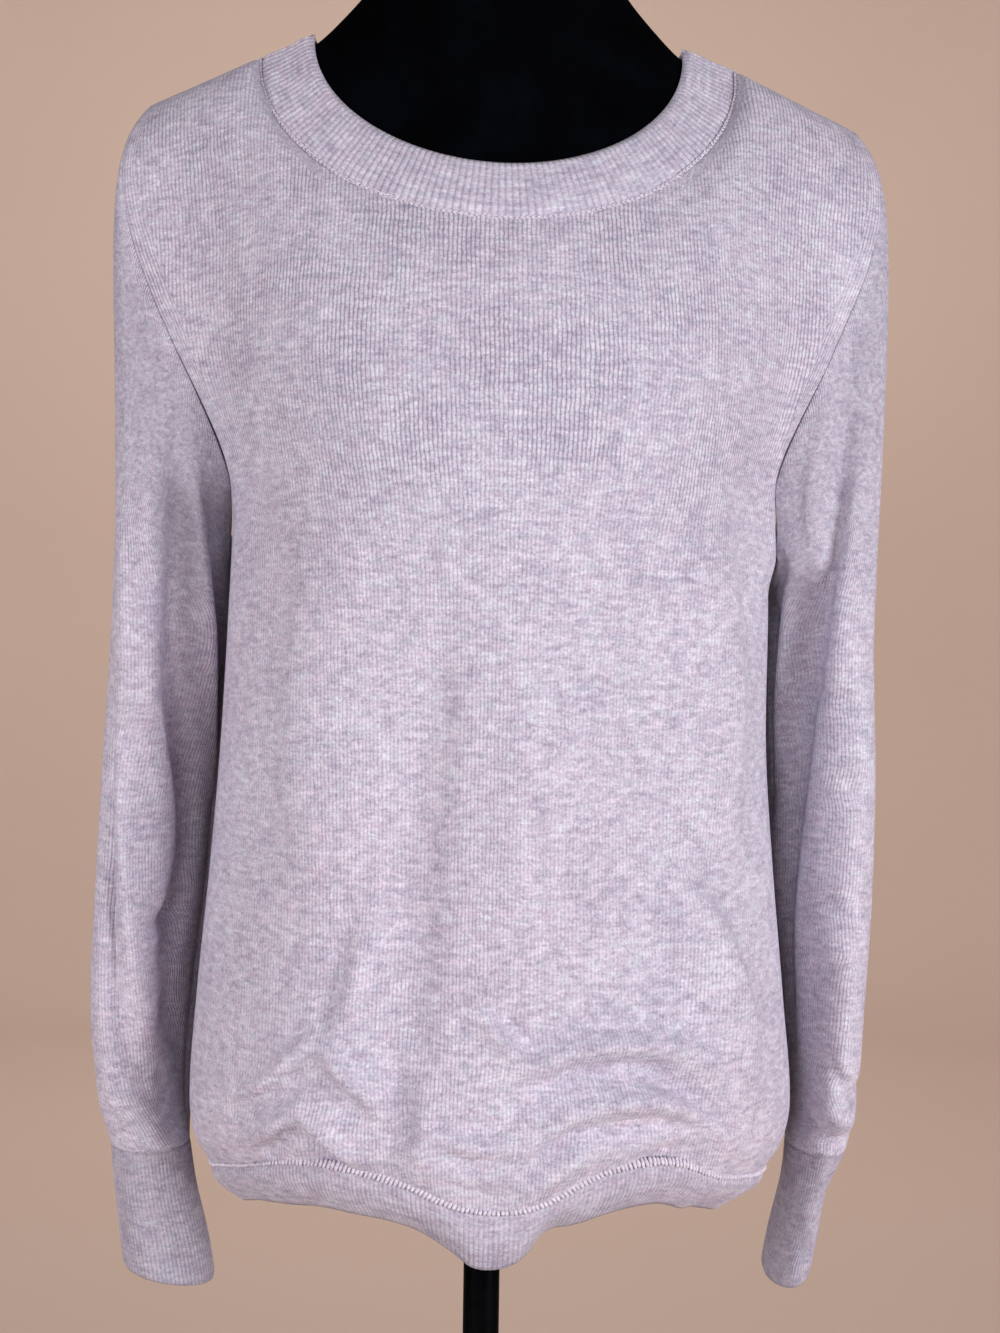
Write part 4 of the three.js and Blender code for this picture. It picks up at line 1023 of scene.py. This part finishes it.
class Graph:
    """Builds a material's nodes. Sockets and plain numbers can both be given as inputs."""

    def __init__(self, name):
        self.material = bpy.data.materials.new(name)
        self.material.use_nodes = True
        self.tree = self.material.node_tree
        self.shader = self.tree.nodes["Principled BSDF"]

    def node(self, kind, settings=None, **inputs):
        node = self.tree.nodes.new("ShaderNode" + kind)
        for name, value in (settings or {}).items():
            setattr(node, name, value)
        for name, value in inputs.items():
            self.feed(node.inputs[int(name[1:]) if name[0] == "_" else name], value)
        return node

    def feed(self, socket, value):
        if isinstance(value, bpy.types.NodeSocket):
            self.tree.links.new(value, socket)
        else:
            socket.default_value = value

    def math(self, operation, *values):
        node = self.node("Math", {"operation": operation})
        for socket, value in zip(node.inputs, values):
            self.feed(socket, value)
        return node.outputs[0]

    def times(self, a, b):
        return self.math("MULTIPLY", a, b)

    def plus(self, a, b):
        return self.math("ADD", a, b)

    def minus(self, a, b):
        return self.math("SUBTRACT", a, b)

    def between(self, value, low, high, to_low=0.0, to_high=1.0):
        node = self.node("MapRange", {"interpolation_type": "SMOOTHSTEP"}, Value=value)
        for name, number in zip(("From Min", "From Max", "To Min", "To Max"), (low, high, to_low, to_high)):
            node.inputs[name].default_value = number
        return node.outputs["Result"]

    def noise(self, vector, scale, detail=2.0, rough=0.5):
        node = self.node("TexNoise", Vector=vector, Scale=scale, Detail=detail, Roughness=rough)
        return node.outputs["Fac"]

    def total(self, *parts):
        """A sum of values, each with its weight."""
        total = 0.0
        for value, weight in parts:
            total = self.node("Math", {"operation": "MULTIPLY_ADD"}, _0=value, _1=weight, _2=total).outputs[0]
        return total

    def vector(self, x, y, z=0.0):
        return self.node("CombineXYZ", X=x, Y=y, Z=z).outputs[0]

    def mix(self, share, a, b, blend="MIX"):
        node = self.node("Mix", {"data_type": "RGBA", "blend_type": blend}, _0=share, _6=a, _7=b)
        return node.outputs[2]

    def tones(self, value, *stops):
        node = self.node("ValToRGB", Fac=value)
        ramp = node.color_ramp
        while len(ramp.elements) < len(stops):
            ramp.elements.new(0.5)
        for element, (at, colour) in zip(ramp.elements, stops):
            element.position, element.color = at, (*colour, 1)
        return node.outputs["Color"]

    def set(self, **values):
        for name, value in values.items():
            self.feed(self.shader.inputs[name.replace("_", " ")], value)


YARN_DARK = (0.295, 0.274, 0.369)
YARN_MID = (0.560, 0.517, 0.611)
YARN_LIGHT = (0.820, 0.802, 0.874)
# the colour of the painted shade in the grooves between the wales
GROOVE_SHADE = (0.15, 0.115, 0.18)
PINK = (1.0, 0.93, 0.97)
BLUE = (0.94, 0.98, 1.0)
TONE_RANGE = {"plain": (0.40, 0.90), "rib": (0.38, 0.92)}


# Noise that follows the knit, by its changes per wale and per course, and noise in space, per metre.
IN_STITCHES = {
    "drift": (0.16, 0.07), "wobble": (0.9, 0.45), "streak": (0.22, 0.5), "speck": (1.5, 1.25),
    "hue": (0.2, 0.3),
}
IN_SPACE = {"curl": 560.0, "mottle": 120.0, "cloud": 34.0, "groove_shade_patches": 22.0, "patch": 7.5}
TONE_WEIGHT = {"streak": 0.40, "speck": 0.32, "curl": 0.30, "mottle": 0.18, "cloud": 0.10}
WANDER = {"drift": 0.9, "wobble": 0.5}  # in wales
CLEAR_HEIGHT = (1.03, 1.14)  # metres: above this the painted shade in the grooves is stronger, where the stretched cloth opens them


def knit(name, rib, painted_shade=1):
    """Marled yarn in plain knit, or in rib when the ribs are already in the mesh."""
    g = Graph(name)
    uv = g.node("UVMap", {"uv_map": "stitches"}).outputs[0]
    split = g.node("SeparateXYZ", Vector=uv)
    u, v = split.outputs[0], split.outputs[1]
    at = g.node("TexCoord").outputs["Object"]
    height = g.node("SeparateXYZ", Vector=at).outputs[2]

    def knitted(kind, detail=3.0, rough=0.6, layer=0.0):
        per_wale, per_course = IN_STITCHES[kind]
        return g.noise(g.vector(g.times(u, per_wale), g.times(v, per_course), layer), 1.0, detail, rough)

    # yarn that wanders a little
    if not rib:
        drift, wobble = knitted("drift", 2.0, 0.5), knitted("wobble", 1.0, 0.5)
        u = g.plus(u, g.times(g.minus(drift, 0.5), WANDER["drift"]))
        u = g.plus(u, g.times(g.minus(wobble, 0.5), WANDER["wobble"]))
    # one wale: 0 in its middle, 1 in the groove beside it
    if rib:
        beside = g.minus(1.0, g.math("ABSOLUTE", g.math("COSINE", g.times(u, math.pi))))
    else:
        beside = g.times(g.math("ABSOLUTE", g.minus(g.math("FRACT", u), 0.5)), 2.0)
    groove = g.math("POWER", beside, 1.7 if rib else 2.4)
    # the legs of each stitch slant up and outwards
    leg = g.plus(v, g.times(beside, -0.5))
    yarn = g.plus(0.5, g.times(g.math("COSINE", g.times(leg, 2 * math.pi)), 0.5))
    # marl: streaks a few stitches long lie along the courses, with specks and curls of loose fibre over them
    parts = {"streak": knitted("streak"), "speck": knitted("speck", layer=7.0)}
    for kind, rough in (("curl", 0.6), ("mottle", 0.6), ("cloud", 0.5)):
        parts[kind] = g.noise(at, IN_SPACE[kind], 2.0, rough)
    tone = g.total(*((parts[kind], weight) for kind, weight in TONE_WEIGHT.items()))
    tone = g.between(tone, *(TONE_RANGE["rib"] if rib else TONE_RANGE["plain"]))
    colour = g.tones(tone, (0.0, YARN_DARK), (0.5, YARN_MID), (1.0, YARN_LIGHT))
    # painted shade: a factor below 1 darkens this whole copy of the yarn, for bands that curl under into
    # shadow
    if painted_shade < 1:
        colour = g.mix(1.0, colour, (painted_shade, painted_shade, painted_shade, 1), "MULTIPLY")
    # streaks lean to blue or to pink
    hue = g.plus(g.times(knitted("hue", layer=3.0), 0.7), g.times(g.noise(at, IN_SPACE["patch"]), 0.3))
    colour = g.mix(1.0, colour, g.tones(g.between(hue, 0.34, 0.66), (0.0, BLUE), (1.0, PINK)), "MULTIPLY")
    # painted shade in the grooves between the wales: strong where the cloth is stretched over the shoulders,
    # fainter lower down where fuzz fills them, and patchy by a noise
    groove_shade_patches = g.noise(at, IN_SPACE["groove_shade_patches"])
    if rib:
        groove_shade = g.between(groove_shade_patches, 0.35, 0.65, 0.2, 0.5)
    else:
        groove_shade = g.times(g.between(height, *CLEAR_HEIGHT, 0.22, 0.62), g.between(groove_shade_patches, 0.35, 0.65, 0.55, 1.1))
    colour = g.mix(g.times(groove, groove_shade), colour, (*GROOVE_SHADE, 1))
    relief = g.minus(g.times(yarn, 0.12), g.times(groove, 0.0 if rib else 0.7))
    relief = g.plus(relief, g.times(parts["curl"], 0.5))
    bump = g.node("Bump", Strength=0.7, Distance=0.0007, Height=relief)
    g.set(Base_Color=colour, Roughness=0.95, Normal=bump.outputs[0])
    g.set(Specular_IOR_Level=0.1, Sheen_Weight=0.12, Sheen_Roughness=0.5)
    g.shader.inputs["Sheen Tint"].default_value = (0.93, 0.95, 1.0, 1)
    return g.material


def thread():
    """The pale yarn of the linked seams."""
    g = Graph("seam_thread")
    at = g.node("TexCoord").outputs["Object"]
    tone = g.noise(at, 700.0, 3.0, 0.6)
    colour = g.tones(g.between(tone, 0.25, 0.75), (0.0, (0.50, 0.44, 0.54)), (1.0, (0.78, 0.72, 0.81)))
    bump = g.node("Bump", Strength=0.5, Distance=0.0003, Height=g.noise(at, 2600.0, 2.0))
    g.set(Base_Color=colour, Roughness=0.95, Normal=bump.outputs[0])
    g.set(Specular_IOR_Level=0.1, Sheen_Weight=0.15)
    return g.material


def velvet():
    g = Graph("velvet")
    at = g.node("TexCoord").outputs["Object"]
    # the lay of the pile: a real bump, and in the colour its brighter streaks are painted sheen
    pile_lay_and_sheen = g.noise(at, 16.0, 3.0, 0.6)
    nap = g.noise(at, 1400.0, 2.0)
    dull, bright = (0.0003, 0.0004, 0.0008), (0.0012, 0.0018, 0.0034)
    colour = g.tones(g.between(pile_lay_and_sheen, 0.4, 0.75), (0.0, dull), (1.0, bright))
    bump = g.node("Bump", Strength=0.4, Distance=0.0004, Height=g.plus(nap, g.times(pile_lay_and_sheen, 4.0)))
    g.set(Base_Color=colour, Roughness=0.85, Normal=bump.outputs[0])
    g.set(Specular_IOR_Level=0.02, Sheen_Weight=0.005, Sheen_Roughness=0.3)
    g.shader.inputs["Sheen Tint"].default_value = (0.5, 0.65, 1.0, 1)
    return g.material


def enamel():
    g = Graph("enamel")
    at = g.node("TexCoord").outputs["Object"]
    wear = g.noise(at, 60.0, 4.0, 0.6)
    peel = g.noise(at, 900.0, 2.0)
    dull, bright = (0.0006, 0.0008, 0.0012), (0.0016, 0.0018, 0.0024)
    colour = g.tones(g.between(wear, 0.3, 0.75), (0.0, dull), (1.0, bright))
    bump = g.node("Bump", Strength=0.25, Distance=0.0002, Height=peel)
    g.set(Base_Color=colour, Roughness=g.between(wear, 0.3, 0.8, 0.3, 0.48), Normal=bump.outputs[0])
    g.set(Specular_IOR_Level=0.015)
    return g.material


def backdrop_paint():
    g = Graph("backdrop")
    at = g.node("TexCoord").outputs["Object"]
    colour = g.tones(g.noise(at, 0.9, 2.0), (0.0, (0.635, 0.50, 0.425)), (1.0, (0.70, 0.55, 0.47)))
    g.set(Base_Color=colour, Roughness=0.95, Specular_IOR_Level=0.1)
    return g.material


# ---------------------------------------------------------------- putting it together


def clad(obj, material):
    obj.data.materials.clear()
    obj.data.materials.append(material)
    return obj


def build():
    plain = knit("knit_heather", False)
    ribs = {
        "neckband": knit("neckband_rib", True),
        # the hem and cuff copies are darker all over, as painted shade where these bands curl under
        "hem_band": knit("hem_rib_painted_shade", True, 0.84),
        "cuff_left": knit("cuff_rib_painted_shade", True, 0.74),
    }
    ribs["cuff_right"] = ribs["cuff_left"]
    made = {
        "front": knit_panel("front_cloth", -1),
        "back": knit_panel("back_cloth", 1),
        "sleeve_left": sleeve("sleeve_left_cloth", -1),
        "sleeve_right": sleeve("sleeve_right_cloth", 1),
    }
    for obj in made.values():
        clad(obj, plain)
    bands = {
        "neckband": neckband(),
        "hem_band": hem_band(),
        "cuff_left": cuff("cuff_left", -1),
        "cuff_right": cuff("cuff_right", 1),
    }
    for name, (obj, _) in bands.items():
        obj.name = name + "_cloth"
        made[name] = clad(obj, ribs[name])
    yarn = thread()
    for obj in (neck_chain(bands["neckband"][1]), hem_stitches(bands["hem_band"][1])):
        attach(clad(obj, yarn), "root")
    made["form_torso"] = clad(smooth_copy("form_torso"), velvet())
    hard = enamel()
    stand = build_stand()
    for name, obj in stand.items():
        made[name] = clad(obj, hard)
    slots = dict.fromkeys(stand, "enamel") | dict.fromkeys(bands, "rib") | {"form_torso": "velvet"}
    for name, obj in made.items():
        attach(obj, "root")
        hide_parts(name)
    return made


made = build()

# ---------------------------------------------------------------- studio


def cove():
    """A pale floor that curves up into a wall all round, far enough out for every view."""
    radius, bend, height, floor = 5600, 1500, 7000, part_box("base")[0].z * 1000
    inner = radius - bend
    quarter = np.linspace(0, math.pi / 2, 16)
    corner = [(inner + bend * math.sin(t), floor + bend - bend * math.cos(t)) for t in quarter]
    profile = [(1, floor), (radius / 2, floor), *corner, (radius, floor + height)]
    vertices, faces = revolved(profile)
    faces.append(tuple(range(ROUND_SEGMENTS)))
    obj = new_object("floor", vertices, faces)
    clad(obj, backdrop_paint())


def area_light(name, place_at, aim, size, power, colour):
    data = bpy.data.lights.new(name, "AREA")
    data.shape, data.energy, data.color = "RECTANGLE", power, colour
    data.size, data.size_y = size
    obj = linked(name, data)
    obj.location = place_at
    direction = np.array(aim) - np.array(place_at)
    yaw = math.atan2(direction[0], -direction[1])
    tilt = math.atan2(math.hypot(direction[0], direction[1]), -direction[2])
    obj.rotation_euler = (tilt, 0, yaw + math.pi)
    obj.visible_camera = False


CAMERA = {"lens": 48.6, "at": (-0.0381, -0.9963, 1.015), "turn": -2.5, "roll": 0.83}  # level, close by


def camera():
    data = bpy.data.cameras.new("camera")
    data.sensor_width, data.lens = 36, CAMERA["lens"]
    obj = linked("camera", data)
    turn, level, roll = (
        Matrix.Rotation(math.radians(angle), 4, axis)
        for angle, axis in ((CAMERA["turn"], "Z"), (90, "X"), (CAMERA["roll"], "Z"))
    )
    obj.matrix_world = Matrix.Translation(CAMERA["at"]) @ (turn @ level) @ roll
    bpy.context.scene.camera = obj


cove()
middle = (0, 0, 1.0)
COOL, WARM = (0.965, 0.98, 1.0), (1.0, 0.96, 0.93)
# Two windows at the front's sides, the right one stronger, with a weak fill between them.
for name, place_at, aim, size, power, colour in (
    ("right_window", (1.8, -1.45, 1.16), middle, (1.2, 1.5), 50, COOL),
    ("left_window", (-1.8, -1.45, 1.16), middle, (1.2, 1.5), 30, COOL),
    ("front_fill", (-0.5, -2.2, 1.05), middle, (0.8, 0.8), 12, COOL),
    ("wall_wash", (0, 1.9, 3.6), (0, 5.2, 1.2), (2.0, 1.0), 90, WARM),
):
    area_light(name, place_at, aim, size, power, colour)
world = bpy.data.worlds.new("studio")
world.use_nodes = True
world.node_tree.nodes["Background"].inputs[0].default_value = (1.0, 0.92, 0.97, 1)
world.node_tree.nodes["Background"].inputs[1].default_value = 0.06
bpy.context.scene.world = world
bpy.context.scene.view_settings.view_transform = "Standard"
camera()
